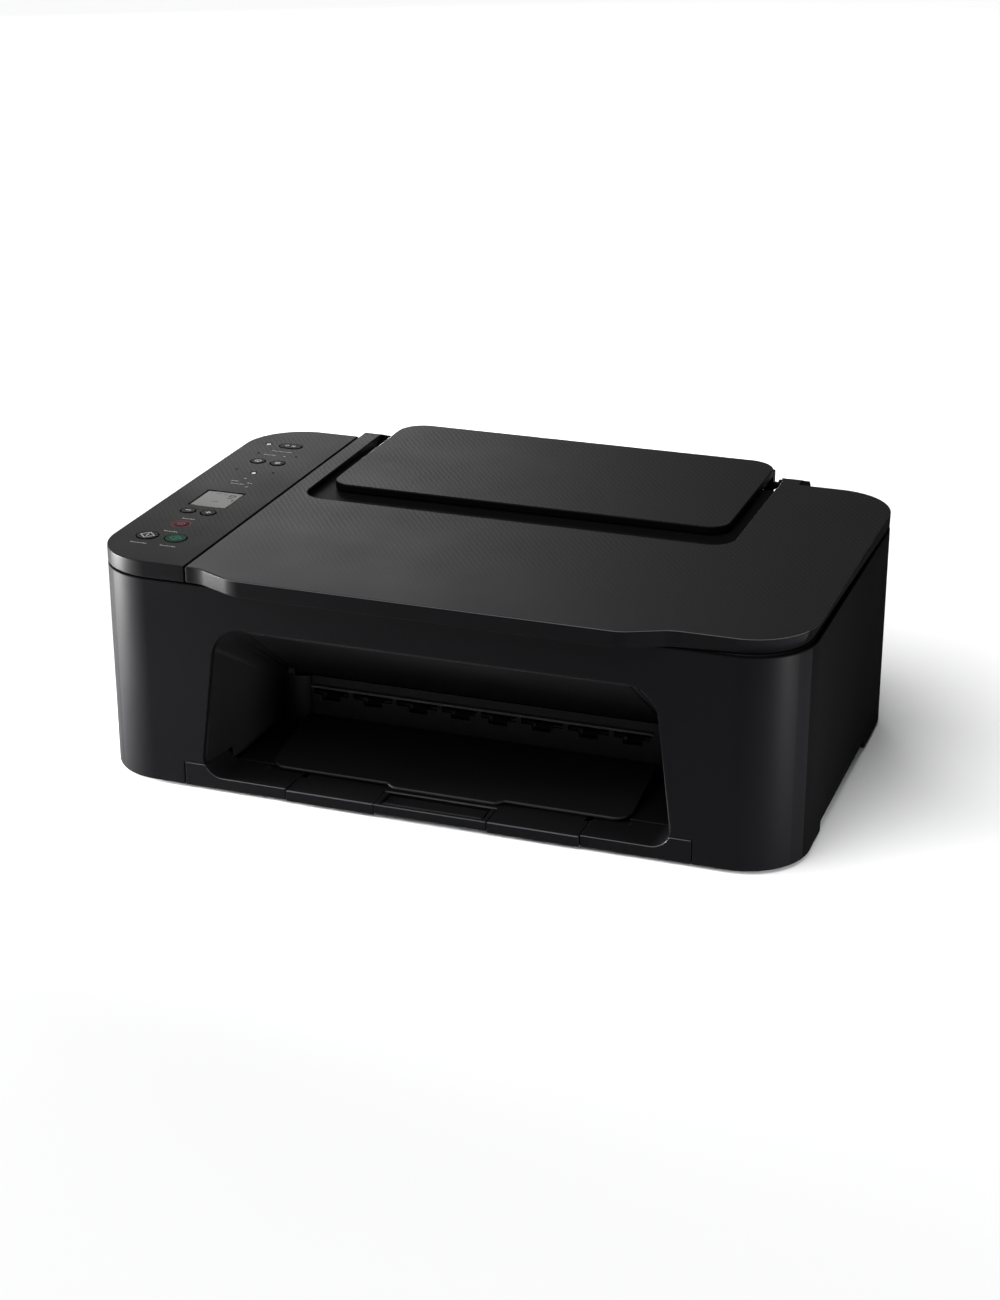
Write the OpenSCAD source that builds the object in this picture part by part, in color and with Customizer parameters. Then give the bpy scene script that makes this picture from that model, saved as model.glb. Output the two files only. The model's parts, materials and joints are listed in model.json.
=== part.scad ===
/* [Body] */
// Width of the case
body_w = 435; // [425:1:445]
// Distance from the origin forward to the case's front face
body_front = 146; // [142:1:150]
// Distance from the origin back to the case's rear face
body_rear = 120; // [118:1:124]
// Radius of the case's upright corners
body_r = 39; // [30:1:45]
// Thickness of the case's walls
case_wall = 2.5; // [1.8:0.1:3]
// Height of the case's lower edge over the table
foot_h = 2; // [1.5:0.1:3]
// Height of the case's upper edge over the table
case_top = 132.6; // [130:0.1:136]
// Thickness of the base pan
pan_t = 2; // [1.6:0.1:2.6]
// Length of the shallow notch under each side wall
side_notch_len = 122; // [80:1:140]
// Height of that notch
side_notch_h = 6; // [2:0.1:8]
// Distance from the case's front face to that notch
side_notch_in = 66; // [50:1:90]

/* [Document cover] */
// Gap between the case's edge and the parts on top
lid_gap = 0.5; // [0.3:0.1:1]
// Thickness of the cover and of the operation panel
lid_t = 10.1; // [9:0.1:12]
// How far the cover's front lip stands out
lip_out = 12; // [6:1:14]
// Distance from the case's side to the straight part of the lip
lip_side = 100.5; // [92:0.5:127]
// How far each end of the lip runs back sideways
lip_run = 26; // [20:1:34]
// Width of the strip that the operation panel takes
panel_w = 65.9; // [57:0.1:66.5]
// Width of the cover's rim beside that recess
recess_rim = 12.6; // [12.6:0.1:20]
// Front edge of that recess
recess_front = -7; // [-20:1:10]
// Depth of that recess
recess_deep = 3.8; // [2:0.1:4.5]
// Thickness of the white pressing pad
pad_t = 5.2; // [3:0.1:5.8]

/* [Paper support] */
// Gap between the recess's side and the support plate
support_side = 9; // [6:0.5:14]
// Front edge of the support plate
support_front = 18; // [0:1:30]
// Rear edge of the support plate
support_rear = 154; // [150:0.5:155]
// Thickness of the support plate
support_t = 5.3; // [4:0.1:6]
// Distance of the rear hinge line behind the origin
hinge_y = 150; // [148:0.5:151]
// Height of the rear hinge line
hinge_z = 130.5; // [129:0.1:131]
// Radius of the rear hinge pins
hinge_pin_r = 2.5; // [1.5:0.1:2.8]
// Wall round a hinge pin
hinge_wall = 1.7; // [1.2:0.1:2]

/* [Rear tray] */
// Rear face of the tray
tray_back = 158; // [157:0.5:162]
// Upper edge of the tray's rear wall
tray_top = 114.5; // [110:0.5:114.5]
// Foot of the slope that the paper rests on, front to back
slope_foot_y = 112; // [110:0.5:114]
// Foot of that slope, height
slope_foot_z = 50; // [46:1:54]
// Thickness of the tray's walls
tray_wall = 2.5; // [2:0.1:3]
// Gap between the support plate's side and each side cheek
cheek_side = 1; // [0.6:0.1:3]
// Thickness of each side cheek
cheek_t = 6; // [5:0.1:6]
// Length of the feed slot's cover
slot_cover_len = 24; // [18:1:24]
// Distance from a side cheek to the feed slot's cover
slot_cover_side = 13; // [10:0.5:30]
// Distance from a side cheek to a paper guide's fence
guide_side = 23; // [21:1:32]

/* [Front opening] */
// Distance from the case's side to the opening, at its foot
bay_side_low = 70.5; // [66:0.5:77]
// Distance from the case's side to the opening, at its head
bay_side_high = 83.5; // [79:0.5:91]
// Height of the opening's lower edge
bay_low = 9.5; // [9.4:0.1:12]
// Height of the opening's upper edge
bay_high = 107; // [98:1:108]
// Radius of the opening's upper corners
bay_r_high = 20; // [8:1:26]
// Radius of the opening's lower corners
bay_r_low = 12; // [4:1:12]
// Place of the exit wall, front to back
exit_y = -62; // [-66:0.5:-60]
// How far the exit wall is narrower on each side than the opening's head
exit_side = 5; // [4:0.5:10]
// Height where the bay's ceiling meets the exit wall
exit_high = 47; // [46:0.5:50]
// Thickness of the bay's lining
liner_t = 2; // [1.6:0.1:2.5]
// Distance from the exit wall's side to the access cover
access_side = 11; // [9:0.5:28]

/* [Output trays] */
// How far the lower front frame reaches past the opening's foot
frame_side = 11; // [6:0.5:15]
// Height of the lower front frame
frame_h = 15; // [13:0.5:18]
// Distance from the tray floor's side to the output tray's front bar
bar_side = 22.5; // [19:0.5:34]
// Height of that bar's top
bar_top = 9; // [8.4:0.1:9.1]
// How far that bar stands out of the case
bar_out = 1; // [0.5:0.1:2]
// Half width of the tray extension
ext_half = 35; // [25:1:45]
// Way that the output tray slides out
tray_travel = 75; // [50:1:80]
// Way that the extension slides out of the tray
ext_travel = 80; // [50:1:85]
// Distance from the exit wall's side to the fixed tray floor
floor_side = 15; // [11:0.5:22]
// How far the fixed tray floor rises from its front to its rear
floor_rise = 11; // [4:0.5:12]

/* [Paper feed] */
// Distance from the case's side to the steel frame's side plate
plate_in = 27.5; // [27.5:0.5:32]
// Height of the paper's path through the printer
paper_z = 36; // [35.5:0.1:37]
// Place of the feed roller, front to back
feed_y = 8; // [7:0.5:9]
// Radius of the feed roller
feed_r = 6; // [5.5:0.1:6.5]
// Radius of the eject rollers
eject_r = 5.2; // [4.6:0.1:5.4]
// Radius of the pinch rollers
pinch_r = 4; // [3:0.1:4.4]
// Radius of the spur wheels
spur_r = 4; // [3:0.1:4.2]
// Radius of the pickup roller
pickup_r = 14; // [10:0.5:15]
// Width of the gears
gear_w = 6; // [4:0.5:8]

/* [Carriage] */
// Width of the carriage
carriage_w = 92; // [84:1:94]
// Distance from the side plate to the carriage's middle at home
home_in = 50; // [48.5:0.5:56]
// Height of the carriage's floor
carriage_low = 39; // [38.5:0.1:40]
// Height of the toothed belt's middle
belt_z = 82; // [80:0.5:84]
// Radius of the belt's pulleys
pulley_r = 6; // [5:0.1:6.5]
// Distance from the side plate to the middle of a belt pulley
pulley_in = 14; // [14:0.5:18]

/* [Scanner] */
// Height of the scanner case's floor
scanner_low = 109; // [107:0.5:112]
// Distance from the cover's left edge to the glass
glass_in = 33.6; // [28:0.1:40]
// Distance from the glass to the case's right side
glass_side = 31.5; // [29.5:0.5:40]
// Front edge of the glass
glass_front = -134; // [-136:0.5:-130]
// Depth of the glass
glass_deep = 221; // [216:1:224]
// Thickness of the glass
glass_t = 2.3; // [1.8:0.1:3]
// Width of the scan bar
scan_bar_w = 16; // [12:0.5:22]

/* [Operation panel] */
// Distance from the case's side to the middle line of the panel
key_in = 31.5; // [31:0.5:33]
// Thickness of the panel's top wall
panel_wall = 2.2; // [1.6:0.1:3]
// How far the keys stand over the panel
key_proud = 0.3; // [0:0.05:0.6]
// Width of the display
display_w = 24; // [18:0.5:30]
// Depth of the display
display_d = 28; // [20:0.5:32]

/* [Hidden] */

// Working clearances
gap = 0.3;
run_fit = 0.06;
cut = 1;

// Places across the printer, worked out from its width
side_x = body_w / 2;
cover_left = -side_x + panel_w;
recess_half = -cover_left - recess_rim;
lip_half = side_x - lip_side;
support_half = recess_half - support_side;
cheek_in = support_half + cheek_side;
slot_cover_half = cheek_in - slot_cover_side;
guide_half = cheek_in - guide_side;
feed_half = cheek_in - 16;
bay_half_low = side_x - bay_side_low;
bay_half_high = side_x - bay_side_high;
exit_half = bay_half_high - exit_side;
access_half = exit_half - access_side;
frame_half = bay_half_low + frame_side;
floor_half = exit_half - floor_side;
bar_half = floor_half - bar_side;
slot_half = exit_half - 18;
plate_x = side_x - plate_in;
pulley_half = plate_x - pulley_in;
carriage_home = plate_x - home_in;
platen_half = carriage_home - 29;
glass_left = cover_left + glass_in;
glass_right = side_x - glass_side;
glass_len = glass_right - glass_left;
panel_x = -side_x + key_in;
// Levels worked out from the sizes above
lid_low = case_top + lid_gap;
lid_high = lid_low + lid_t;
recess_floor = lid_high - recess_deep;
support_low = recess_floor + gap;
support_high = support_low + support_t;
pad_low = lid_low - 1.2;
pad_high = pad_low + pad_t;
pan_top = foot_h + pan_t;
knuckle_r = hinge_pin_r + hinge_wall;
frame_top = foot_h + frame_h;
frame_deep = 30;
lip_front = body_front + lip_out;
deck_top = case_top - 1.1;

// Output trays: a running gap over the pan, then the extension inside the tray
ext_t = 1.1;
rail_t = 0.5;
tray_low = pan_top + gap;
ext_low = tray_low + rail_t + gap;
tray_plate_low = ext_low + ext_t + gap;
tray_plate_t = 1.5;
tray_plate_high = tray_plate_low + tray_plate_t;
tray_half = bar_half - 3.5;
bar_front = -body_front - bar_out;
bar_back = bar_front + 21;
floor_front = -body_front + 22;
floor_low = tray_plate_high + gap;
floor_t = 2;

// Paper feed, all on one line of shafts
feed_teeth = 40;
idler_teeth = 24;
eject_teeth = 34;
pinion_teeth = 12;
gear_m = 1;
shaft_z = paper_z - feed_r;
idler_y = feed_y - (feed_teeth + idler_teeth) * gear_m / 2;
eject_y = idler_y - (idler_teeth + eject_teeth) * gear_m / 2;
pinion_angle = -18;
pinion_reach = (feed_teeth + pinion_teeth) * gear_m / 2;
pinion_y = feed_y + pinion_reach * cos(pinion_angle);
pinion_z = shaft_z + pinion_reach * sin(pinion_angle);
shaft_r = 3;
roller_half = 112;
pinch_z = paper_z + 0.2 + pinch_r;
spur_z = paper_z + 0.2 + spur_r;
plate_t = 1.5;
gear_x = -plate_x - plate_t - gap;
motor_r = 14;

// Rear tray's slope, from its foot to the tray's upper edge
slope_top_y = hinge_y;
slope_len = norm([slope_top_y - slope_foot_y, tray_top - slope_foot_z]);
slope_a = atan2(tray_top - slope_foot_z, slope_top_y - slope_foot_y);
pickup_at = 14;
pickup_y = slope_foot_y + pickup_at * cos(slope_a) - (pickup_r + gap) * sin(slope_a);
pickup_z = slope_foot_z + pickup_at * sin(slope_a) + (pickup_r + gap) * cos(slope_a);
slot_y = body_rear + 3;
slot_z = hinge_z + 1;
slot_pin_r = 1.8;

// Carriage and its rail
rail_y = 26;
rail_t2 = 1.2;
rail_low = 62;
rail_high = belt_z + pulley_r + 10;
belt_y = 20;
belt_w = 5;
belt_t = 1.2;
carriage_half = carriage_w / 2;
carriage_front = -42;
carriage_back = 15;
carriage_high = carriage_low + 41;
carriage_step = pinch_z + pinch_r + 4;
bay_gap = 2;
hook_half = 19;
strip_y = rail_y + 8;
strip_half = carriage_home + hook_half + 2.7;

// Polygon through points [x, y, radius], with each corner rounded by its radius
function turn(a, b) = let (d = b - a) d > 180 ? d - 360 : d < -180 ? d + 360 : d;
function corner(p, q, s, n) =
    let (u = unit([p[0] - q[0], p[1] - q[1]]), v = unit([s[0] - q[0], s[1] - q[1]]),
        h = acos(max(-1, min(1, u * v))) / 2, m = unit(u + v),
        c = [q[0], q[1]] + m * q[2] / sin(h), t = q[2] / tan(h),
        a = [q[0], q[1]] + u * t - c, b = [q[0], q[1]] + v * t - c,
        a0 = atan2(a[1], a[0]), d = turn(a0, atan2(b[1], b[0])))
    [for (i = [0 : n]) c + q[2] * [cos(a0 + d * i / n), sin(a0 + d * i / n)]];
function unit(v) = v / norm(v);
function rounded(pts, n = 8) = [for (i = [0 : len(pts) - 1])
    let (p = pts[(i + len(pts) - 1) % len(pts)], q = pts[i], s = pts[(i + 1) % len(pts)])
    each q[2] > 0 ? corner(p, q, s, n) : [[q[0], q[1]]]];

module box(x0, x1, y0, y1, z0, z1) {
    translate([x0, y0, z0]) cube([x1 - x0, y1 - y0, z1 - z0]);
}
module rect(x0, x1, y0, y1) {
    translate([x0, y0]) square([x1 - x0, y1 - y0]);
}
module round_rect(x0, x1, y0, y1, r) {
    rect(x0 + r, x1 - r, y0, y1);
    rect(x0, x1, y0 + r, y1 - r);
    for (x = [x0 + r, x1 - r], y = [y0 + r, y1 - r]) translate([x, y]) circle(r, $fn = 96);
}
module tube_x(x0, x1, y, z, r) {
    translate([x0, y, z]) rotate([0, 90, 0]) cylinder(h = x1 - x0, r = r, $fn = 48);
}
module tube_y(x, y0, y1, z, r) {
    translate([x, y1, z]) rotate([90, 0, 0]) cylinder(h = y1 - y0, r = r, $fn = 48);
}
module tube_z(x, y, z0, z1, r) {
    translate([x, y, z0]) cylinder(h = z1 - z0, r = r, $fn = 48);
}
module profile_x(x0, x1, pts) {
    translate([x0, 0, 0]) rotate([90, 0, 90]) linear_extrude(x1 - x0) polygon(pts);
}
module profile_y(y0, y1, pts) {
    translate([0, y1, 0]) rotate([90, 0, 0]) linear_extrude(y1 - y0) polygon(pts);
}
module both_sides() {
    children();
    mirror([1, 0, 0]) children();
}
module plan(inset, z0, z1) {
    translate([0, 0, z0]) linear_extrude(z1 - z0)
        round_rect(-side_x + inset, side_x - inset, -body_front + inset, body_rear - inset,
            body_r - inset);
}

// Outline of the front opening, grown by a margin
function bay_outline(grow, low) = let (g = grow)
    rounded([[-bay_half_low - g, low, bay_r_low], [bay_half_low + g, low, bay_r_low],
        [bay_half_high + g, bay_high + g, bay_r_high + g],
        [-bay_half_high - g, bay_high + g, bay_r_high + g]], 10);
function exit_outline(grow) = let (g = grow)
    rounded([[-exit_half - 1 - g, 0, 0], [exit_half + 1 + g, 0, 0],
        [exit_half - 2 + g, exit_high + g, 8 + g], [-exit_half + 2 - g, exit_high + g, 8 + g]], 10);

// Spur gear whose teeth have straight flanks and some backlash
module gear(teeth, phase, width) {
    rp = teeth * gear_m / 2;
    half = (PI / 2 - 0.4) * gear_m / 2;
    tip = rp + 0.8 * gear_m;
    root = rp - 1.2 * gear_m;
    wide = half + 1.2 * gear_m * tan(20);
    thin = half - 0.8 * gear_m * tan(20);
    linear_extrude(width) {
        circle(root, $fn = 96);
        for (i = [0 : teeth - 1]) rotate(phase + i * 360 / teeth)
            polygon([[root - 0.5, -wide], [root, -wide], [tip, -thin], [tip, thin], [root, wide],
                [root - 0.5, wide]]);
    }
}
module gear_x_at(x, y, z, teeth, phase, width) {
    translate([x, y, z]) rotate([90, 0, 90]) gear(teeth, phase, width);
}

// Chassis ------------------------------------------------------------------

module base_pan() {
    color("#202022") difference() {
        plan(case_wall + gap, foot_h, pan_top);
        box(-frame_half - gap, frame_half + gap, -body_front - cut, -body_front + frame_deep + gap,
            0, pan_top + cut);
        for (p = screw_places) tube_z(p[0], p[1], 0, pan_top + cut, screw_r + run_fit);
    }
}
module case_shell() {
    color("#1b1b1d") difference() {
        plan(0, foot_h, case_top);
        plan(case_wall, foot_h - cut, case_top + cut);
        profile_y(-body_front - cut, -body_front + case_wall + cut, bay_outline(0, bay_low));
        box(-frame_half - gap, frame_half + gap, -body_front - cut, -body_front + case_wall + cut,
            0, frame_top + gap);
        box(-cheek_in, cheek_in, body_rear - case_wall - cut, body_rear + cut, 46, case_top + cut);
        both_sides() box(side_x - case_wall - cut, side_x + cut, side_notch_front,
            side_notch_front + side_notch_len, foot_h - cut, foot_h + side_notch_h);
        port_cut(inlet_x, inlet_w, inlet_h);
        port_cut(usb_x, usb_w, usb_h);
    }
}
screw_r = 1.5;
side_notch_front = -body_front + side_notch_in;
screw_places = [for (x = [-side_x + 42.5, -60, 60, side_x - 42.5], y = [-88, body_rear - 22]) [x, y]];
inlet_x = -side_x + 59.5;
inlet_w = 24;
inlet_h = 16;
usb_x = side_x - 57.5;
usb_w = 13;
usb_h = 12;
port_z = 30;
module port_cut(x, w, h) {
    box(x - w / 2 - gap, x + w / 2 + gap, body_rear - case_wall - cut, body_rear + cut,
        port_z - h / 2 - gap, port_z + h / 2 + gap);
}
module front_frame() {
    color("#19191b") difference() {
        box(-frame_half, frame_half, -body_front, -body_front + frame_deep, foot_h, frame_top);
        profile_y(-body_front - cut, -body_front + frame_deep + cut, bay_outline(0, bay_low));
        box(-bar_half - gap, bar_half + gap, -body_front - cut, bar_back + gap, 0, frame_top + cut);
        box(-bar_half - gap, bar_half + gap, bar_back, -body_front + frame_deep + cut, pan_top - 0.4,
            frame_top + cut);
        box(-floor_half - gap, floor_half + gap, floor_front - gap, -body_front + frame_deep + cut,
            floor_low - gap, frame_top + cut);
    }
}
// Points on the line of the bay's ceiling, t = 0 at the opening and 1 at the exit wall
liner_front = -body_front + case_wall;
function ceiling(t, rise) = [liner_front + t * (exit_y - liner_front),
    bay_high + t * (exit_high - bay_high) + rise];
access_pin_r = 1.8;
access_y = ceiling(0.95, 0)[0];
access_z = ceiling(0.95, 2.4)[1];
module bay_liner() {
    color("#0f0f11") difference() {
        union() {
            difference() {
                hull() {
                    profile_y(liner_front, liner_front + 0.1, bay_outline(liner_t, 0));
                    profile_y(exit_y - 0.4, exit_y - gap, exit_outline(liner_t));
                }
                hull() {
                    profile_y(liner_front - 1, liner_front + 0.01, bay_outline(0, -2));
                    profile_y(exit_y - gap - 0.01, exit_y + cut, exit_outline(0));
                }
                profile_x(-access_half, access_half, [ceiling(0.05, -8), ceiling(1.02, -8),
                    ceiling(1.02, 16), ceiling(0.05, 16)]);
            }
            both_sides() box(access_half + gap, access_half + 5, access_y - 4, access_y + 3,
                access_z - 3, access_z + 4);
        }
        tube_x(-access_half - 6, access_half + 6, access_y, access_z, access_pin_r + run_fit);
        box(-side_x, side_x, -body_front, exit_y + cut, -10, wing_high + gap);
        box(-side_x, side_x, -body_front, -body_front + frame_deep + gap, -10,
            frame_top + gap);
    }
}
wing_high = bay_low - 0.2;
module tray_floor() {
    color("#151517") difference() {
        union() {
            intersection() {
                profile_x(-floor_half, floor_half, [[floor_front, floor_low],
                    [exit_y - gap, floor_low + floor_rise], [exit_y - gap, floor_low + floor_rise + floor_t],
                    [floor_front, floor_low + floor_t]]);
                linear_extrude(60) {
                    round_rect(-floor_half, floor_half, floor_front + 3.5, exit_y + 40, 10);
                    polygon(rounded([[-ext_half - 8, floor_front + 6, 0], [-ext_half - 2, floor_front + 3.5, 2],
                        [-ext_half + 3, floor_front, 4], [ext_half - 3, floor_front, 4],
                        [ext_half + 2, floor_front + 3.5, 2], [ext_half + 8, floor_front + 6, 0]], 4));
                }
            }
            both_sides() {
                box(floor_half - 2, exit_half + 8, -body_front + frame_deep + gap, exit_y - gap,
                    wing_high - 1.6, wing_high);
                profile_x(floor_half - 2, floor_half, [[-body_front + frame_deep + 6, wing_high - 1],
                    [exit_y - gap, wing_high - 1], [exit_y - gap, floor_low + floor_rise + 1],
                    [-body_front + frame_deep + 6, floor_low + floor_rise / 4]]);
                profile_x(tray_half + gap, tray_half + gap + 2.5, [[-body_front + frame_deep + gap, pan_top],
                    [exit_y - gap, pan_top], [exit_y - gap, floor_low + floor_rise + 1],
                    [-body_front + frame_deep + gap, floor_low + floor_rise / 5]]);
                box(exit_half, exit_half + 2, -body_front + frame_deep + gap, exit_y - gap, pan_top,
                    wing_high - 1);
            }
        }
    }
}
module exit_guide() {
    color("#121214") difference() {
        union() {
            profile_y(exit_y, exit_y + 2, [[-exit_half, wing_high], [exit_half, wing_high],
                [exit_half - 2, exit_high], [-exit_half + 2, exit_high]]);
            both_sides() box(tray_half + 4, exit_half, exit_y, exit_y + 2, pan_top, wing_high + 1);
            box(-slot_half - 3, slot_half + 3, exit_y + 1, eject_y + 5, spur_z + spur_r - 0.6, exit_high);
            both_sides() box(slot_half - 1, slot_half + 2, exit_y + 1, eject_y + 4, paper_z + 1.5,
                exit_high - 1);
            profile_x(-slot_half, slot_half, [[exit_y - lip_deep, slot_high], [exit_y + 1, slot_high],
                [exit_y + 1, slot_high + 4], [exit_y - lip_deep, slot_high + 1.6]]);
        }
        for (i = [0 : len(slots) - 1]) box(slots[i][0], slots[i][1], exit_y - cut, exit_y + 2 + cut,
            slot_low, slot_high);
        for (x = eject_places) box(x - roller_w / 2 - 1, x + roller_w / 2 + 1, exit_y - cut, exit_y + 2 + cut,
            slot_low - notch_h, slot_low + cut);
        for (x = spur_places) box(x - 3, x + 3, exit_y + 2, eject_y + 6, paper_z, spur_z + spur_r + gap);
        box(-tray_half - gap, tray_half + gap, exit_y - cut, eject_y + 6, 0, tray_plate_high + gap);
        tube_x(-slot_half - 4, slot_half + 4, eject_y, spur_z, spur_pin_r + run_fit);
    }
}
spur_pin_r = 1.2;
eject_places = slot_half * [-0.88, -0.63, -0.36, -0.11, 0.11, 0.36, 0.63, 0.88];
spur_places = eject_places;
slot_edges = slot_half * [-1, -0.76, -0.5, -0.23, 0, 0.23, 0.5, 0.76, 1];
slots = [for (i = [0 : len(slot_edges) - 2]) [slot_edges[i] + 1.6, slot_edges[i + 1] - 1.6]];
slot_low = paper_z - 1.2;
slot_high = paper_z + 2.8;
notch_h = 3.6;
lip_deep = 0.8;
roller_w = 10;
// Point on the tray's slope: s along it from the foot, n off its face towards the front
function slope(s, n) = [slope_foot_y + s * cos(slope_a) - n * sin(slope_a),
    slope_foot_z + s * sin(slope_a) + n * cos(slope_a)];
module rear_tray() {
    color("#1a1a1c") difference() {
        union() {
            profile_x(-cheek_in, cheek_in, [slope(0, 0), slope(slope_len, 0), [tray_back, tray_top],
                [tray_back, tray_top - tray_wall], [hinge_y + 1, tray_top - tray_wall],
                slope(slope_len - tray_wall, -tray_wall), slope(0, -tray_wall)]);
            profile_x(-cheek_in, cheek_in, [[tray_back, tray_top], [tray_back, tray_top - 16],
                [body_rear + 6, 44], [body_rear, 44], [body_rear, 48],
                [body_rear + 5, 47], [tray_back - tray_wall, tray_top - 15],
                [tray_back - tray_wall, tray_top]]);
            both_sides() {
                profile_x(cheek_in, cheek_in + cheek_t, [[body_rear, 40], [body_rear + 8, 40],
                    [tray_back, tray_top - 16], [tray_back, tray_top],
                    [hinge_y + knuckle_r, hinge_z], [hinge_y - knuckle_r, hinge_z - 2],
                    [slot_y + 4, hinge_z - 2], [slot_y + 2.5, slot_z], [body_rear, slot_z]]);
                tube_x(cheek_in, cheek_in + cheek_t, hinge_y, hinge_z, knuckle_r);
                tube_x(cheek_in, cheek_in + cheek_t, slot_y, slot_z, 3);
            }
        }
        tube_x(-cheek_in - cheek_t - cut, cheek_in + cheek_t + cut, hinge_y, hinge_z,
            hinge_pin_r + run_fit);
        tube_x(-cheek_in - cheek_t - cut, cheek_in + cheek_t + cut, slot_y, slot_z,
            slot_pin_r + run_fit);
    }
}
guide_s = 20;
guide_l = 44;
module paper_guide() {
    color("#232325") {
        profile_x(guide_half, guide_half + 16, [slope(guide_s, gap), slope(guide_s + guide_l, gap),
            slope(guide_s + guide_l, 2.5), slope(guide_s, 2.5)]);
        profile_x(guide_half, guide_half + 2, [slope(guide_s, 2), slope(guide_s + guide_l, 2),
            slope(guide_s + guide_l - 3, 12), slope(guide_s + 6, 12)]);
    }
}
module guide_right() {
    paper_guide();
}
module guide_left() {
    mirror([1, 0, 0]) paper_guide();
}
module slot_cover() {
    color("#2c2c2e") {
        box(-slot_cover_half, slot_cover_half, slot_y, slot_y + slot_cover_len, slot_z - 1, slot_z + 1);
        tube_x(-cheek_in - cheek_t / 2, cheek_in + cheek_t / 2, slot_y, slot_z, slot_pin_r);
    }
}
guide_low_z = paper_z - 1.5;
module feed_guide() {
    color("#1f1f21") difference() {
        union() {
            profile_x(-feed_half, feed_half, [[slope_foot_y - gap, slope_foot_z - gap], [104, 39],
                [feed_y + feed_r + 4, guide_low_z], [feed_y + feed_r + 4, guide_low_z - 2], [105, 36.8],
                [slope_foot_y - gap, slope_foot_z - 3]]);
            for (leg = [[50, 0.4], [98, 2.4]])
                box(-feed_half, feed_half, leg[0], leg[0] + 2, pan_top, guide_low_z + leg[1]);
            both_sides() profile_x(76, 79, [[92, 37], [110, 37], [pickup_y + 5, pickup_z],
                [pickup_y + 3, pickup_z + 5], [pickup_y - 3, pickup_z + 5], [pickup_y - 5, pickup_z]]);
        }
        tube_x(-80, 80, pickup_y, pickup_z, shaft_r + run_fit);
    }
}
module pickup_roller() {
    color("#4a4a4c") {
        tube_x(-80, 80, pickup_y, pickup_z, shaft_r);
        for (x = [-26, 12]) tube_x(x, x + 14, pickup_y, pickup_z, pickup_r);
    }
}
module main_frame() {
    color("#9a9ca0") difference() {
        union() {
            box(-plate_x, plate_x, rail_y, rail_y + rail_t2, rail_low, rail_high);
            both_sides() {
                profile_x(plate_x, plate_x + plate_t, [[eject_y - 7, pan_top], [rail_y + 20, pan_top],
                    [rail_y + 20, rail_low - 4], [rail_y + 6, rail_high], [rail_y - 4, rail_high],
                    [rail_y - 8, rail_low - 8], [eject_y - 7, shaft_z + 10]]);
                box(plate_x - 12, plate_x + plate_t, eject_y - 6, rail_y + 18, pan_top, pan_top + plate_t);
                box(strip_half - 1.5, strip_half, rail_y + rail_t2 - 0.1, strip_y + 1, rail_high - 10, rail_high - 1);
            }
            tube_y(pulley_half, belt_y - 4, rail_y + 0.5, belt_z, stud_r);
            tube_x(-plate_x - plate_t - gear_w - 1, -plate_x, idler_y, shaft_z, stud_r);
        }
        both_sides() {
            tube_x(plate_x - cut, plate_x + plate_t + cut, feed_y, shaft_z, shaft_r + run_fit);
            tube_x(plate_x - cut, plate_x + plate_t + cut, eject_y, shaft_z, shaft_r + run_fit);
        }
        tube_x(-plate_x - plate_t - cut, -plate_x + cut, pinion_y, pinion_z, 3);
        tube_y(-pulley_half, rail_y - cut, rail_y + rail_t2 + cut, belt_z, 4);
    }
}
stud_r = 2;
platen_rib = 2.5;
rib_step = (platen_half - 3) / 6;
module platen() {
    color("#151516") {
        box(-platen_half, platen_half, eject_y + 7, feed_y - feed_r - 1, paper_z - 5, paper_z - 3);
        for (i = [-6 : 6]) box(i * rib_step - 0.6, i * rib_step + 0.6, eject_y + 8, feed_y - feed_r - 1.5,
            paper_z - 3, paper_z - 3 + platen_rib);
        both_sides() box(tray_half + 4, platen_half, eject_y + 7, feed_y - feed_r - 1, pan_top, paper_z - 5);
    }
}
pinch_pin_r = 1.4;
module pinch_holder() {
    color("#1c1c1e") difference() {
        union() {
            box(-plate_x, plate_x, feed_y + 8, feed_y + 16, pinch_z + 4, pinch_z + 8);
            for (x = pinch_arms) profile_x(x - 1.5, x + 1.5, [[feed_y + 9, pinch_z + 5],
                [feed_y + 9, pinch_z + 8], [feed_y - 3, pinch_z + 3.4], [feed_y - 3, pinch_z - 2.5],
                [feed_y + 3, pinch_z - 2.5], [feed_y + 6, pinch_z + 4]]);
        }
        tube_x(-roller_half, roller_half, feed_y, pinch_z, pinch_pin_r + run_fit);
    }
}
pinch_places = [-82, -42, 0, 42, 82];
pinch_arms = [-102, -62, -22, 22, 62, 102];
module pinch_rollers() {
    color("#3a3a3c") {
        tube_x(-105, 105, feed_y, pinch_z, pinch_pin_r);
        for (x = pinch_places) tube_x(x - 8, x + 8, feed_y, pinch_z, pinch_r);
    }
}
module feed_roller() {
    color("#6a6c70") {
        tube_x(-plate_x - plate_t - gap, plate_x + plate_t + 2, feed_y, shaft_z, shaft_r);
        tube_x(-roller_half, roller_half, feed_y, shaft_z, feed_r);
        gear_x_at(gear_x - gear_w, feed_y, shaft_z, feed_teeth, 0, gear_w);
    }
}
module eject_roller() {
    color("#3c3c3e") {
        tube_x(-plate_x - plate_t - gap, plate_x + plate_t + 2, eject_y, shaft_z, shaft_r);
        for (x = eject_places) tube_x(x - roller_w / 2, x + roller_w / 2, eject_y, shaft_z, eject_r);
        gear_x_at(gear_x - gear_w, eject_y, shaft_z, eject_teeth, 0, gear_w);
    }
}
module spur_wheels() {
    color("#b0b2b4") {
        tube_x(-slot_half - 1, slot_half + 1, eject_y, spur_z, spur_pin_r);
        for (x = spur_places) tube_x(x - 0.6, x + 0.6, eject_y, spur_z, spur_r);
    }
}
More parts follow.
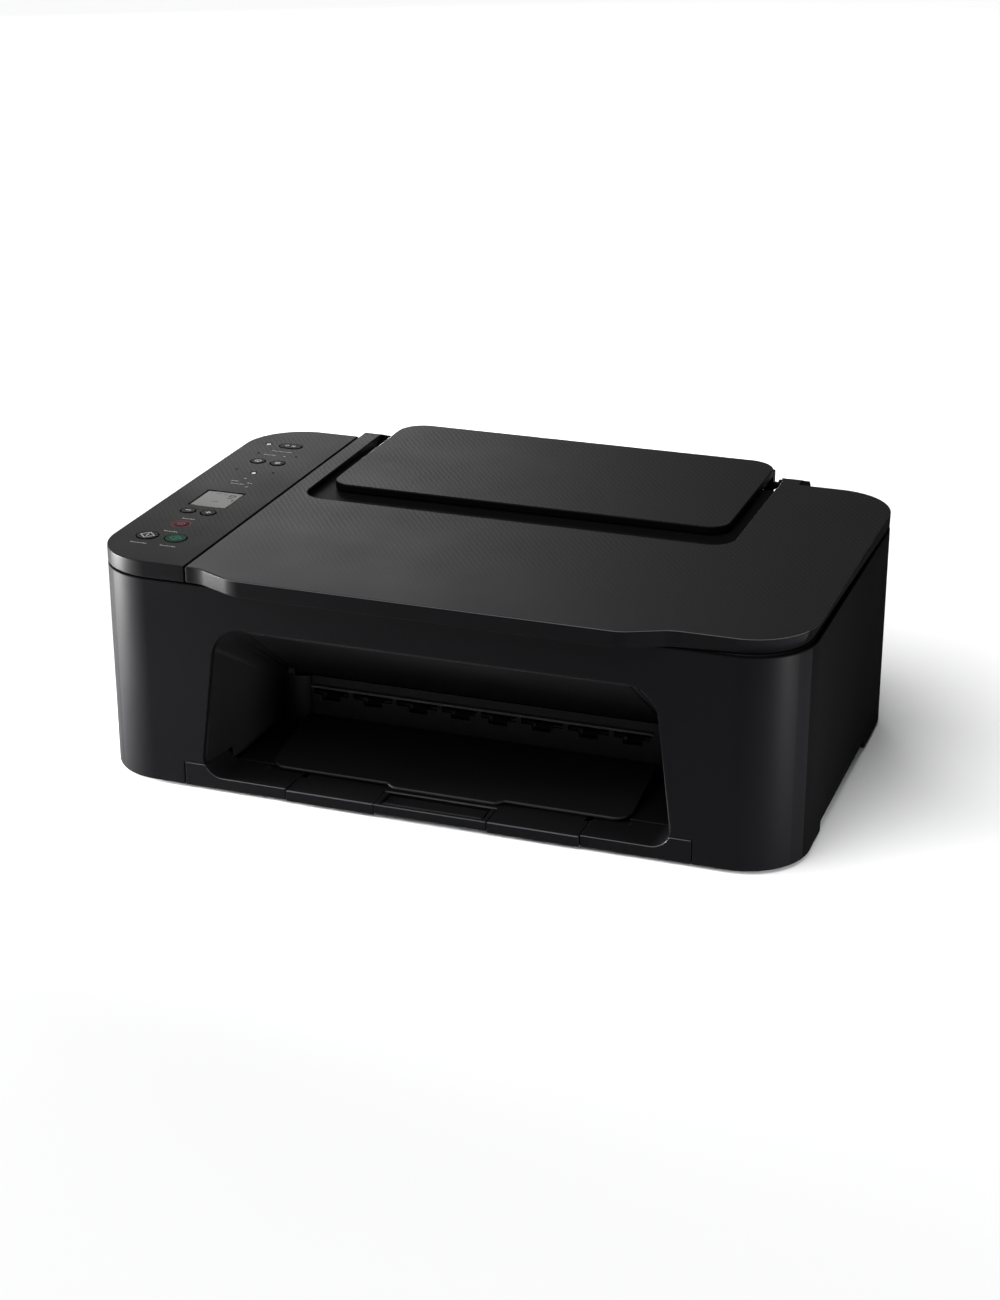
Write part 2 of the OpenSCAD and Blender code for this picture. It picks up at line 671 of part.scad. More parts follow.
module idler_gear() {
    color("#d8d4c8") difference() {
        gear_x_at(gear_x - gear_w, idler_y, shaft_z, idler_teeth, 180 / idler_teeth, gear_w);
        tube_x(gear_x - gear_w - cut, gear_x + cut, idler_y, shaft_z, stud_r + run_fit);
    }
}
module motor_pinion() {
    color("#c0a860") {
        gear_x_at(gear_x - gear_w, pinion_y, pinion_z, pinion_teeth,
            pinion_angle + 180 - 180 / pinion_teeth, gear_w);
        tube_x(gear_x - 1, -plate_x + 8, pinion_y, pinion_z, 1.5);
    }
}
module feed_motor() {
    color("#8c8e92") difference() {
        tube_x(-plate_x, -plate_x + 24, pinion_y, pinion_z, motor_r);
        tube_x(-plate_x - cut, -plate_x + 10, pinion_y, pinion_z, 1.5 + run_fit);
    }
}
module carriage_motor() {
    color("#8c8e92") difference() {
        tube_y(-pulley_half, rail_y + rail_t2, rail_y + rail_t2 + 24, belt_z, motor_r);
        tube_y(-pulley_half, rail_y, rail_y + rail_t2 + 12, belt_z, 1.5 + run_fit);
    }
}
module drive_pulley() {
    color("#c0a860") {
        tube_y(-pulley_half, belt_y - belt_w / 2, belt_y + belt_w / 2, belt_z, pulley_r - gap / 2);
        tube_y(-pulley_half, belt_y, rail_y + rail_t2 + 10, belt_z, 1.5);
    }
}
module tension_pulley() {
    color("#d8d4c8") difference() {
        tube_y(pulley_half, belt_y - belt_w / 2, belt_y + belt_w / 2, belt_z, pulley_r - gap / 2);
        tube_y(pulley_half, belt_y - belt_w, belt_y + belt_w, belt_z, stud_r + run_fit);
    }
}
module belt_loop(r, y0, y1) {
    box(-pulley_half, pulley_half, y0, y1, belt_z - r, belt_z + r);
    for (x = [-pulley_half, pulley_half]) tube_y(x, y0, y1, belt_z, r);
}
module timing_belt() {
    color("#181818") difference() {
        belt_loop(pulley_r + belt_t, belt_y - belt_w / 2, belt_y + belt_w / 2);
        belt_loop(pulley_r, belt_y - belt_w, belt_y + belt_w);
    }
}
module encoder_strip() {
    color("#c8ccd0") box(-strip_half + 1.5, strip_half - 1.5, strip_y - 0.2, strip_y + 0.2,
        rail_high - 7.5, rail_high - 1.5);
}

// Carriage, modelled about its own middle and set at home --------------------

module at_home() {
    translate([carriage_home, 0, 0]) children();
}
lock_y = 8;
lock_z = carriage_high + 3;
lock_pin_r = 1.4;
head_half = 9;
head_mid = 16;
module carriage() {
    color("#242426") at_home() difference() {
        union() {
            difference() {
                box(-carriage_half, carriage_half, carriage_front, carriage_back, carriage_low,
                    carriage_high + 6);
                both_sides() box(1.5, carriage_half - 2, carriage_front + 2, carriage_back - 2,
                    carriage_step + 2, carriage_high + 7);
                both_sides() box(1.5, carriage_half - 2, carriage_front + 2, feed_y - pinch_r - 6,
                    carriage_low + 2, carriage_high);
                box(-carriage_half - cut, carriage_half + cut, feed_y - pinch_r - 4, carriage_back + cut,
                    carriage_low - cut, carriage_step);
                box(-carriage_half - cut, carriage_half + cut, carriage_front - cut, lock_y - 4,
                    carriage_high - 2, carriage_high + 7);
                box(-carriage_half + 2, carriage_half - 2, carriage_front - cut, carriage_front + 3,
                    carriage_low + 12, carriage_high + 7);
                both_sides() box(head_mid - head_half - gap, head_mid + head_half + gap, -34, -14,
                    carriage_low - cut, carriage_low + 3);
            }
            box(-hook_half, hook_half, carriage_back - 2, rail_y - gap, rail_high - 7, rail_high - 1);
            box(-hook_half, hook_half, carriage_back - 2, strip_y + 4, rail_high + gap, rail_high + 3);
            box(-hook_half, hook_half, rail_y + rail_t2 + gap, strip_y + 4, rail_high - 7, rail_high + 1);
            box(-hook_half, hook_half, carriage_back - 2, carriage_back, carriage_high, rail_high + 3);
            box(-carriage_half + 4, carriage_half - 4, carriage_back - 1, rail_y - gap, rail_low + 0.5,
                rail_low + 6);
            box(-8, 8, carriage_back - 1, belt_y + belt_w / 2, belt_z - pulley_r - belt_t - 2.8,
                belt_z - pulley_r - belt_t - 0.1);
            box(-8, 8, carriage_back - 1, belt_y + belt_w / 2, belt_z - pulley_r + 0.1,
                belt_z - pulley_r + 2.5);
        }
        box(-hook_half - cut, hook_half + cut, strip_y - 0.6, strip_y + 0.6, rail_high - 8,
            rail_high - 0.5);
        tube_x(-carriage_half - cut, carriage_half + cut, lock_y, lock_z, lock_pin_r + run_fit);
    }
}
module cartridge() {
    box(bay_gap + 1, carriage_half - bay_gap - 0.5, carriage_front + 4, feed_y - pinch_r - 8,
        carriage_low + 2, carriage_high - 8);
    box(bay_gap + 1, carriage_half - bay_gap - 0.5, carriage_front + 4, lock_y - 2,
        carriage_step + 3, carriage_high - 8);
    box(head_mid - head_half, head_mid + head_half, -33, -15, carriage_low + 0.3, carriage_low + 3);
}
module cartridge_black() {
    color("#303234") at_home() cartridge();
}
module cartridge_color() {
    color("#3c3e42") at_home() mirror([1, 0, 0]) cartridge();
}
module lock_cover() {
    color("#5a5c60") {
        box(bay_gap + 1, carriage_half - bay_gap - 0.5, carriage_front + 2, lock_y, lock_z - 4.2, lock_z - 2.7);
        box(bay_gap + 3, carriage_half - bay_gap - 3, lock_y - 4, lock_y, lock_z - 4.2, lock_z);
        tube_x(bay_gap - 0.1, carriage_half - 0.4, lock_y, lock_z, lock_pin_r);
        tube_x(bay_gap + 3, carriage_half - bay_gap - 3, lock_y, lock_z, 2.4);
    }
}
module lock_right() {
    at_home() lock_cover();
}
module lock_left() {
    at_home() mirror([1, 0, 0]) lock_cover();
}

module maintenance_unit() {
    color("#2a2a2c") difference() {
        box(carriage_home - head_mid - 12, plate_x - 4, -44, 0, pan_top + plate_t, carriage_low - 1);
        for (x = [-head_mid, head_mid]) box(carriage_home + x - 11, carriage_home + x + 11, -36, -12,
            carriage_low - 5, carriage_low);
    }
    color("#3c3c3e") for (x = [-head_mid, head_mid]) difference() {
        box(carriage_home + x - 10, carriage_home + x + 10, -35, -13, carriage_low - 5, carriage_low - 0.5);
        box(carriage_home + x - 8.5, carriage_home + x + 8.5, -33.5, -14.5, carriage_low - 3, carriage_low);
    }
}
module power_supply() {
    color("#1d1d1f") box(-side_x + 17.5, -side_x + 83.5, rail_y + 24, body_rear - 22, pan_top, 46);
}
module power_inlet() {
    color("#161617") difference() {
        box(inlet_x - inlet_w / 2, inlet_x + inlet_w / 2, body_rear - case_wall - 8, body_rear,
            port_z - inlet_h / 2, port_z + inlet_h / 2);
        translate([inlet_x, body_rear - 8, port_z]) rotate([-90, 0, 0]) linear_extrude(10) difference() {
            union() {
                for (x = [-4.3, 4.3]) translate([x, 0]) circle(4.6, $fn = 48);
                rect(-4.3, 4.3, -3.4, 3.4);
            }
            for (x = [-4.3, 4.3]) translate([x, 0]) circle(2.9, $fn = 48);
        }
    }
    color("#c8ccd0") for (x = [-4.3, 4.3]) tube_y(inlet_x + x, body_rear - 9, body_rear - 3,
        port_z, 1.2);
}
board_left = side_x - 89.5;
board_right = side_x - 19.5;
board_front = rail_y + 24;
board_rear = body_rear - 14;
module logic_board() {
    color("#2c5a3c") {
        box(board_left, board_right, board_front, board_rear, pan_top + 4, pan_top + 5.6);
        for (x = [board_left + 4, board_right - 4], y = [board_front + 4, board_rear - 6])
            tube_z(x, y, pan_top, pan_top + 4, 3);
        box(usb_x - 10, usb_x + 8, board_front + 20, board_front + 38, pan_top + 5.6, pan_top + 8);
        box(usb_x - 5, usb_x + 5, board_rear - 6, board_rear - 2, pan_top + 5.6, port_z - usb_h / 2);
    }
}
module usb_port() {
    color("#b4b6ba") difference() {
        box(usb_x - usb_w / 2, usb_x + usb_w / 2, board_rear - 6, body_rear, port_z - usb_h / 2, port_z + usb_h / 2);
        box(usb_x - usb_w / 2 + 1.5, usb_x + usb_w / 2 - 1.5, board_rear, body_rear + cut,
            port_z - usb_h / 2 + 1.5, port_z + usb_h / 2 - 1.5);
    }
    color("#202022") box(usb_x - 2.8, usb_x + 2.8, board_rear - 1, body_rear - 2, port_z - 1.6, port_z + 1.6);
}
module screws() {
    color("#a8aaae") for (p = screw_places) {
        tube_z(p[0], p[1], foot_h, pan_top, screw_r);
        tube_z(p[0], p[1], foot_h - 1, foot_h, 2 * screw_r);
    }
}
foot_r = 8;
module feet() {
    color("#141414") for (x = [-side_x + 29.5, side_x - 29.5], y = [-body_front + 40, body_rear - 28])
        tube_z(x, y, 0, foot_h, foot_r);
}

// Scanner --------------------------------------------------------------------

scan_wall = 2.2;
ledge_t = 1.3;
ledge_w = 4;
scan_bar_y0 = glass_front + 6;
scan_bar_y1 = glass_front + glass_deep - 4;
module scanner_case() {
    color("#1d1d1f") difference() {
        plan(case_wall + 0.5, scanner_low, deck_top);
        plan(case_wall + 0.5 + scan_wall, scanner_low + scan_wall, deck_top - glass_t - ledge_t);
        box(glass_left - gap, glass_right + gap, glass_front - gap, glass_front + glass_deep + gap,
            deck_top - glass_t, deck_top + cut);
        box(glass_left + ledge_w, glass_right - ledge_w, glass_front + ledge_w,
            glass_front + glass_deep - ledge_w, deck_top - glass_t - 4, deck_top);
    }
    color("#1d1d1f") {
        box(glass_left + 2, glass_right - 2, rail_mid - 2, rail_mid + 2, scanner_low + scan_wall - 0.1,
            scanner_low + scan_wall + 3);
        plan_ring();
        box(cover_left - 8, cover_left - 8 + scan_wall, -body_front + 10, body_rear - 10,
            scanner_low + scan_wall - 0.1, deck_top - glass_t - ledge_t + 0.1);
    }
}
rail_mid = glass_front + glass_deep / 2;
module plan_ring() {
    difference() {
        plan(case_wall + 0.5, deck_top - 0.1, lid_low - 0.4);
        plan(case_wall + 4, deck_top - 1, lid_low);
    }
}
module platen_glass() {
    color("#b8c8c8", 0.4) box(glass_left, glass_right, glass_front, glass_front + glass_deep,
        deck_top - glass_t, deck_top);
}
scan_home = glass_left + 8;
scan_travel = glass_len - scan_bar_w - 16;
module scan_bar() {
    color("#2e2e30") difference() {
        box(scan_home, scan_home + scan_bar_w, scan_bar_y0, scan_bar_y1, scanner_low + scan_wall + gap,
            deck_top - glass_t - gap);
        box(scan_home - cut, scan_home + scan_bar_w + cut, rail_mid - 2 - gap, rail_mid + 2 + gap,
            scanner_low, scanner_low + scan_wall + 3 + gap);
        box(scan_home + 5, scan_home + 8, scan_bar_y0 + 4, scan_bar_y1 - 4, deck_top - glass_t - 2,
            deck_top);
    }
}

// Document cover ---------------------------------------------------------------

cover_right = side_x;
pocket_in = 5;
module cover_outline() {
    intersection() {
        union() {
            round_rect(-side_x, side_x, -body_front, body_rear, body_r);
            polygon(rounded([[-lip_half - lip_run - 26, -body_front, 0], [-lip_half - lip_run, -body_front, 24],
                [-lip_half, -lip_front, 24], [lip_half, -lip_front, 24],
                [lip_half + lip_run, -body_front, 24], [lip_half + lip_run + 26, -body_front, 0],
                [lip_half, -body_front + 10, 0], [-lip_half, -body_front + 10, 0]]));
        }
        rect(cover_left, cover_right, -lip_front - cut, body_rear);
    }
}
arm_in = cheek_in + cheek_t + 2 * gap;
arm_out = -cover_left;
cut_back = body_rear - 6;
module document_cover() {
    color("#39393b") difference() {
        union() {
            translate([0, 0, lid_low]) linear_extrude(lid_t) cover_outline();
            both_sides() {
                profile_x(arm_in, arm_out, [[body_rear - 8, lid_low + 1], [body_rear - 8, lid_high],
                    [body_rear + 9, lid_high], [body_rear + 12, lid_high - 1], [hinge_y + 2, hinge_z + 4],
                    [hinge_y + 3, hinge_z - 2], [hinge_y - 3, hinge_z - 3], [body_rear + 12, lid_low + 1]]);
                tube_x(arm_in, arm_out, hinge_y, hinge_z, knuckle_r);
                tube_x(cheek_in + cheek_t / 2 + gap, arm_in + cut, hinge_y, hinge_z, hinge_pin_r);
            }
        }
        translate([0, 0, recess_floor]) linear_extrude(20)
            polygon(rounded([[-recess_half, recess_front, 15], [recess_half, recess_front, 15],
                [recess_half, body_rear + 9, 0], [-recess_half, body_rear + 9, 0]], 10));
        box(-recess_half, recess_half, cut_back, body_rear + cut, lid_low - cut, lid_high + cut);
        translate([0, 0, lid_low - cut]) linear_extrude(pad_high - lid_low + cut) intersection() {
            round_rect(-side_x + pocket_in, side_x - pocket_in, -body_front + pocket_in,
                body_rear - pocket_in, body_r - pocket_in);
            rect(cover_left + pocket_in, cover_right, -body_front, cut_back - 6);
        }
    }
}
module pressing_pad() {
    color("#e8e8e6") box(glass_left + 5, glass_right - 5, glass_front + 4, glass_front + glass_deep - 5,
        deck_top + gap, pad_high);
}
module paper_support() {
    color("#39393b") {
        translate([0, 0, support_low]) linear_extrude(support_t) polygon(rounded(
            [[-support_half, support_front, 13], [support_half, support_front, 13],
            [support_half, support_rear, 18], [-support_half, support_rear, 18]], 10));
        both_sides() {
            profile_x(cheek_in - 10, cheek_in - 3, [[hinge_y - 6, support_low + 1],
                [hinge_y + 3, support_low + 1], [hinge_y + 3.5, hinge_z], [hinge_y - 3.5, hinge_z]]);
            tube_x(cheek_in - 10, cheek_in - 3, hinge_y, hinge_z, knuckle_r);
            tube_x(cheek_in - 4, cheek_in + cheek_t / 2 - gap, hinge_y, hinge_z, hinge_pin_r);
        }
    }
}

// Operation panel ----------------------------------------------------------------

panel_right = cover_left - 0.6;
panel_ceiling = lid_high - panel_wall;
display_y = -body_front + 116;
lamp_places = [[panel_x - 16, body_rear - 36], [panel_x, body_rear - 95]];
key_low = panel_ceiling - 1.4;
power_key_at = [panel_x, body_rear - 36];
wireless_key_at = [panel_x - 7.5, body_rear - 72];
info_key_at = [panel_x + 6.5, body_rear - 72];
minus_key_at = [panel_x - 7.3, -body_front + 90.5];
plus_key_at = [panel_x + 6.3, -body_front + 90.5];
stop_key_at = [panel_x - 0.3, -body_front + 66.5];
color_key_at = [panel_x + 8, -body_front + 42];
black_key_at = [panel_x - 10.5, -body_front + 41.5];
small_key_r = 4.5;
start_key_r = 6.5;
module key_shape(r, long) {
    for (x = [-long, long]) translate([x, 0]) circle(r, $fn = 48);
    if (long > 0) rect(-long, long, -r, r);
}
module key(at, r, long) {
    translate([at[0], at[1], 0]) {
        translate([0, 0, panel_ceiling - gap]) linear_extrude(panel_wall + gap + key_proud)
            key_shape(r, long);
        translate([0, 0, key_low]) linear_extrude(panel_ceiling - gap - key_low) key_shape(r + 1.2, long);
    }
}
module key_hole(at, r, long) {
    translate([at[0], at[1], panel_ceiling - cut]) linear_extrude(panel_wall + 2 * cut)
        key_shape(r + gap, long);
}
module panel_cap() {
    color("#39393b") difference() {
        translate([0, 0, lid_low]) linear_extrude(lid_t) intersection() {
            round_rect(-side_x, side_x, -body_front, body_rear, body_r);
            rect(-side_x - cut, panel_right, -body_front - cut, body_rear + cut);
        }
        translate([0, 0, lid_low - cut]) linear_extrude(lid_t - panel_wall + cut) intersection() {
            round_rect(-side_x + panel_wall, side_x, -body_front + panel_wall,
                body_rear - panel_wall, body_r - panel_wall);
            rect(-side_x, panel_right - panel_wall, -body_front, body_rear);
        }
        key_hole(power_key_at, small_key_r, 3);
        for (p = [wireless_key_at, info_key_at, minus_key_at, plus_key_at, stop_key_at])
            key_hole(p, small_key_r, 0);
        for (p = [color_key_at, black_key_at]) key_hole(p, start_key_r, 0);
        for (p = lamp_places) tube_z(p[0], p[1], panel_ceiling - cut, lid_high + cut, lamp_r + gap);
        box(panel_x - display_w / 2 - gap, panel_x + display_w / 2 + gap, display_y - display_d / 2 - gap,
            display_y + display_d / 2 + gap, panel_ceiling - cut, lid_high + cut);
    }
}
lamp_r = 1.5;
module display() {
    color("#a8aaa6") box(panel_x - display_w / 2, panel_x + display_w / 2, display_y - display_d / 2,
        display_y + display_d / 2, panel_ceiling - 2, lid_high - gap);
}
module panel_lamps() {
    color("#d8d8d8") for (p = lamp_places) tube_z(p[0], p[1], panel_ceiling - 2, lid_high - 0.1, lamp_r);
}
module key_power() {
    color("#2c2c2e") key(power_key_at, small_key_r, 3);
}
module key_wireless() {
    color("#2c2c2e") key(wireless_key_at, small_key_r, 0);
}
module key_info() {
    color("#2c2c2e") key(info_key_at, small_key_r, 0);
}
module key_minus() {
    color("#2c2c2e") key(minus_key_at, small_key_r, 0);
}
module key_plus() {
    color("#2c2c2e") key(plus_key_at, small_key_r, 0);
}
module key_stop() {
    color("#8a2f3a") key(stop_key_at, small_key_r, 0);
}
module key_color() {
    color("#1f6b4a") key(color_key_at, start_key_r, 0);
}
module key_black() {
    color("#2c2c2e") key(black_key_at, start_key_r, 0);
}

// Front of the printer ------------------------------------------------------------

module access_cover() {
    color("#131315") {
        profile_x(-access_half + gap, access_half - gap, [ceiling(0.07, 0), ceiling(0.9, 0),
            [access_y - 1, access_z - 2.4], [access_y + 1, access_z - 2.4], [access_y + 1, access_z + 1],
            ceiling(0.9, 2.4), ceiling(0.07, 2.4)]);
        tube_x(-access_half + gap, access_half - gap, access_y, access_z, 2.4);
        tube_x(-access_half - 4.5, access_half + 4.5, access_y, access_z, access_pin_r);
    }
}
tray_rear = exit_y - 3 + tray_travel;
module output_tray() {
    color("#1a1a1c") difference() {
        union() {
            box(-tray_half, tray_half, bar_back - 2, tray_rear, tray_plate_low, tray_plate_high);
            box(-bar_half, bar_half, bar_front, bar_back, foot_h, bar_top);
            both_sides() {
                box(ext_half + gap, ext_half + gap + 3, bar_back - 1, tray_rear, tray_low,
                    tray_plate_low + 0.5);
                box(ext_half - 2, ext_half + gap + 3, bar_back - 1, tray_rear, tray_low,
                    tray_low + rail_t);
            }
        }
        box(-ext_half - gap, ext_half + gap, bar_front - cut, bar_back - 2, 0, bar_top + cut);
        box(-ext_half - gap, ext_half + gap, bar_back - 3, bar_back + cut, 0, tray_plate_low);
    }
}
stop_y = bar_front + 5;
stop_z = ext_low + ext_t + 1.5;
stop_r = 1.2;
stop_pin_r = 0.7;
stop_half = ext_half - 4;
ext_rear = bar_back + 16 + ext_travel;
module tray_extension() {
    color("#171719") difference() {
        union() {
            box(-ext_half, ext_half, bar_front, ext_rear, ext_low, ext_low + ext_t);
            box(-ext_half, ext_half, bar_front, bar_front + 2.5, foot_h + 1, bar_top);
            both_sides() box(ext_half - 2.5, ext_half, bar_front + 1, bar_back - 3, foot_h + 1, bar_top);
        }
        tube_x(-ext_half - cut, ext_half + cut, stop_y, stop_z, stop_pin_r + run_fit);
    }
}
module paper_stop() {
    color("#1d1d1f") {
        box(-stop_half, stop_half, stop_y, bar_back - 5, stop_z - stop_r, stop_z + 0.4);
        tube_x(-stop_half, stop_half, stop_y, stop_z, stop_r);
        tube_x(-ext_half + 0.6, ext_half - 0.6, stop_y, stop_z, stop_pin_r);
    }
}

base_pan();
case_shell();
front_frame();
bay_liner();
tray_floor();
exit_guide();
rear_tray();
feed_guide();
main_frame();
platen();
pinch_holder();
carriage_motor();
feed_motor();
timing_belt();
encoder_strip();
maintenance_unit();
power_supply();
power_inlet();
logic_board();
usb_port();
screws();
feet();
scanner_case();
platen_glass();
scan_bar();
panel_cap();
display();
panel_lamps();
key_power();
key_wireless();
key_info();
key_minus();
key_plus();
key_stop();
key_color();
key_black();
document_cover();
pressing_pad();
paper_support();
slot_cover();
guide_left();
guide_right();
access_cover();
output_tray();
tray_extension();
paper_stop();
feed_roller();
eject_roller();
idler_gear();
motor_pinion();
pinch_rollers();
spur_wheels();
pickup_roller();
drive_pulley();
tension_pulley();
carriage();
cartridge_black();
cartridge_color();
lock_left();
lock_right();
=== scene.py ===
import json
import math

import bpy
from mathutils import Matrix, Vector


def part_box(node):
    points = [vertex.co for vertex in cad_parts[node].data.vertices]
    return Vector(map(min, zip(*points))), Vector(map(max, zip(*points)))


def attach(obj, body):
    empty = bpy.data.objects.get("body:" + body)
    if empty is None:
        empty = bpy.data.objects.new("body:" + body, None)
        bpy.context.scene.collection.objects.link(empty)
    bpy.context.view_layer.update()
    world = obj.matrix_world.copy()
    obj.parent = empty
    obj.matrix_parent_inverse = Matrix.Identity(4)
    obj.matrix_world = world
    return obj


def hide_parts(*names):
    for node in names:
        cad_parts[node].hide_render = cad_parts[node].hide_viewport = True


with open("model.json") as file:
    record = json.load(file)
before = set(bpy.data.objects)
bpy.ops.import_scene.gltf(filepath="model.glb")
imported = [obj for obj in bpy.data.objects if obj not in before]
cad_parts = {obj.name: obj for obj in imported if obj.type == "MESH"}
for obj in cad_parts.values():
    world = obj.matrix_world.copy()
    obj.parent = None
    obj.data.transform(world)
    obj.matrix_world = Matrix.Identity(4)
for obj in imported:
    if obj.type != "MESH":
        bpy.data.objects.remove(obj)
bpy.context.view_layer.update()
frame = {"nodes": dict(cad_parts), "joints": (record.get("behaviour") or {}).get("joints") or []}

# ---------------------------------------------------------------- camera
# A short telephoto lens a little right of the front and 22 degrees above the printer's middle,
# as for a catalogue picture.
camera_place = Vector((0.48327, -1.38336, 0.65945))
camera_aim = Vector((-0.30957, 0.87103, -0.38141))
camera_data = bpy.data.cameras.new("catalogue_camera")
camera_data.sensor_width = 36
camera_data.lens = 69.95
camera = bpy.data.objects.new("catalogue_camera", camera_data)
camera.location = camera_place
camera.rotation_euler = camera_aim.to_track_quat("-Z", "Y").to_euler()
bpy.context.scene.collection.objects.link(camera)
bpy.context.scene.camera = camera
bpy.context.scene.view_settings.view_transform = "Standard"


# ---------------------------------------------------------------- studio
# A seamless sweep of matt white paper under the printer. Broad daylight comes from the front left,
# a box behind the left lifts the top, and low strips draw the streaks down the two front corners
# and open up the back.
def linear(colour):
    """An sRGB hex colour as the linear values that the shaders work in."""
    parts = [int(colour[i:i + 2], 16) / 255 for i in (1, 3, 5)]
    return tuple(p / 12.92 if p <= 0.04045 else ((p + 0.055) / 1.055) ** 2.4 for p in parts) + (1.0,)


def add(tree, kind, settings=None, links=None):
    """Adds a node to a tree, with its socket values or settings and its incoming links."""
    node = tree.nodes.new(kind)
    for name, value in (settings or {}).items():
        if isinstance(name, int) or name in node.inputs:
            node.inputs[name].default_value = value
        else:
            setattr(node, name, value)
    for name, output in (links or {}).items():
        tree.links.new(output, node.inputs[name])
    return node


world = bpy.data.worlds.new("studio_air")
bpy.context.scene.world = world
world.use_nodes = True
world.node_tree.nodes["Background"].inputs["Color"].default_value = linear("#eef1f5")
world.node_tree.nodes["Background"].inputs["Strength"].default_value = 0.08

bpy.ops.object.select_all(action="DESELECT")
bpy.ops.mesh.primitive_plane_add(size=40.0, location=(0, 0, 0))
paper_sweep = bpy.context.object
paper_sweep.name = "paper_sweep"
paper = bpy.data.materials.new("matt_background_paper")
paper.use_nodes = True
tree = paper.node_tree
tree.nodes.clear()
matt = add(tree, "ShaderNodeBsdfDiffuse", {"Color": linear("#fafafa")})
add(tree, "ShaderNodeOutputMaterial", None, {"Surface": matt.outputs[0]})
paper_sweep.data.materials.append(paper)


def turn_to(lamp, direction):
    """Points a lamp along a direction and puts it in the scene."""
    lamp.rotation_euler = Vector(direction).to_track_quat("-Z", "Y").to_euler()
    bpy.context.scene.collection.objects.link(lamp)


def soft_box(name, place, aim, width, height, power, spread=180):
    """One rectangular soft box that faces a point. spread is how wide its honeycomb lets it shine."""
    lamp_data = bpy.data.lights.new(name, "AREA")
    lamp_data.shape = "RECTANGLE"
    lamp_data.size = width
    lamp_data.size_y = height
    lamp_data.energy = power
    lamp_data.spread = math.radians(spread)
    lamp = bpy.data.objects.new(name, lamp_data)
    lamp.location = place
    lamp.visible_camera = False
    turn_to(lamp, Vector(aim) - Vector(place))


daylight_data = bpy.data.lights.new("daylight", "SUN")
daylight_data.energy = 3.3
daylight_data.angle = math.radians(60)
turn_to(bpy.data.objects.new("daylight", daylight_data), (0.3, 0.35, -0.9))
soft_box("rear_left_box", place=(-1.5, 2.5, 0.9), aim=(-0.1, 0, 0.14), width=1.0, height=0.8, power=13)
# The strips stay lower than the cover, so that its flat top doesn't mirror them.
strip_z = 0.072
strip_height = 0.12
soft_box("left_strip", place=(-0.66, -0.19, strip_z), aim=(-0.2, -0.12, strip_z), width=0.18,
         height=strip_height, power=2.1, spread=50)
soft_box("right_strip", place=(0.6, -0.24, strip_z), aim=(0.2, -0.13, strip_z), width=0.06,
         height=strip_height, power=0.36, spread=50)
soft_box("rear_strip", place=(-0.32, 0.95, strip_z), aim=(-0.1, 0.15, strip_z), width=0.6,
         height=strip_height, power=6, spread=120)


# ---------------------------------------------------------------- case
# The main housing, black ABS injection moulded in one piece, with the front frame and the base pan
# screwed under it. Its front is satin and its two long sides have a coarser, deader grain.
def moulded_plastic(name, colour, roughness, grain=0.35, relief=0.02, sheen=0.5, blotch=0.06):
    """Moulded plastic: an even colour with faint flow marks, 45 mm across, under a fine eroded
    grain. grain is its size in millimetres, drawn coarse enough to show, and relief its depth."""
    flow_marks = 45.45
    material = bpy.data.materials.new(name)
    material.use_nodes = True
    tree = material.node_tree
    surface = tree.nodes["Principled BSDF"]
    surface.inputs["IOR"].default_value = 1.5
    surface.inputs["Specular IOR Level"].default_value = sheen
    place = add(tree, "ShaderNodeTexCoord")
    flow = add(tree, "ShaderNodeTexNoise", {"Scale": 1000.0 / flow_marks, "Detail": 3.0},
               {"Vector": place.outputs["Object"]})
    dark = tuple(c * (1 - blotch) for c in linear(colour)[:3]) + (1.0,)
    pale = tuple(c * (1 + blotch) for c in linear(colour)[:3]) + (1.0,)
    tone = add(tree, "ShaderNodeMix", {"data_type": "RGBA", 6: dark, 7: pale}, {0: flow.outputs["Fac"]})
    tree.links.new(tone.outputs[2], surface.inputs["Base Color"])
    pits = add(tree, "ShaderNodeTexNoise", {"Scale": 1000.0 / grain, "Detail": 2.0},
               {"Vector": place.outputs["Object"]})
    gloss = add(tree, "ShaderNodeMapRange", {"To Min": roughness - 0.05, "To Max": roughness + 0.05},
                {"Value": flow.outputs["Fac"]})
    tree.links.new(gloss.outputs[0], surface.inputs["Roughness"])
    bump = add(tree, "ShaderNodeBump", {"Strength": 0.35, "Distance": relief / 1000},
               {"Height": pits.outputs["Fac"]})
    tree.links.new(bump.outputs[0], surface.inputs["Normal"])
    return material


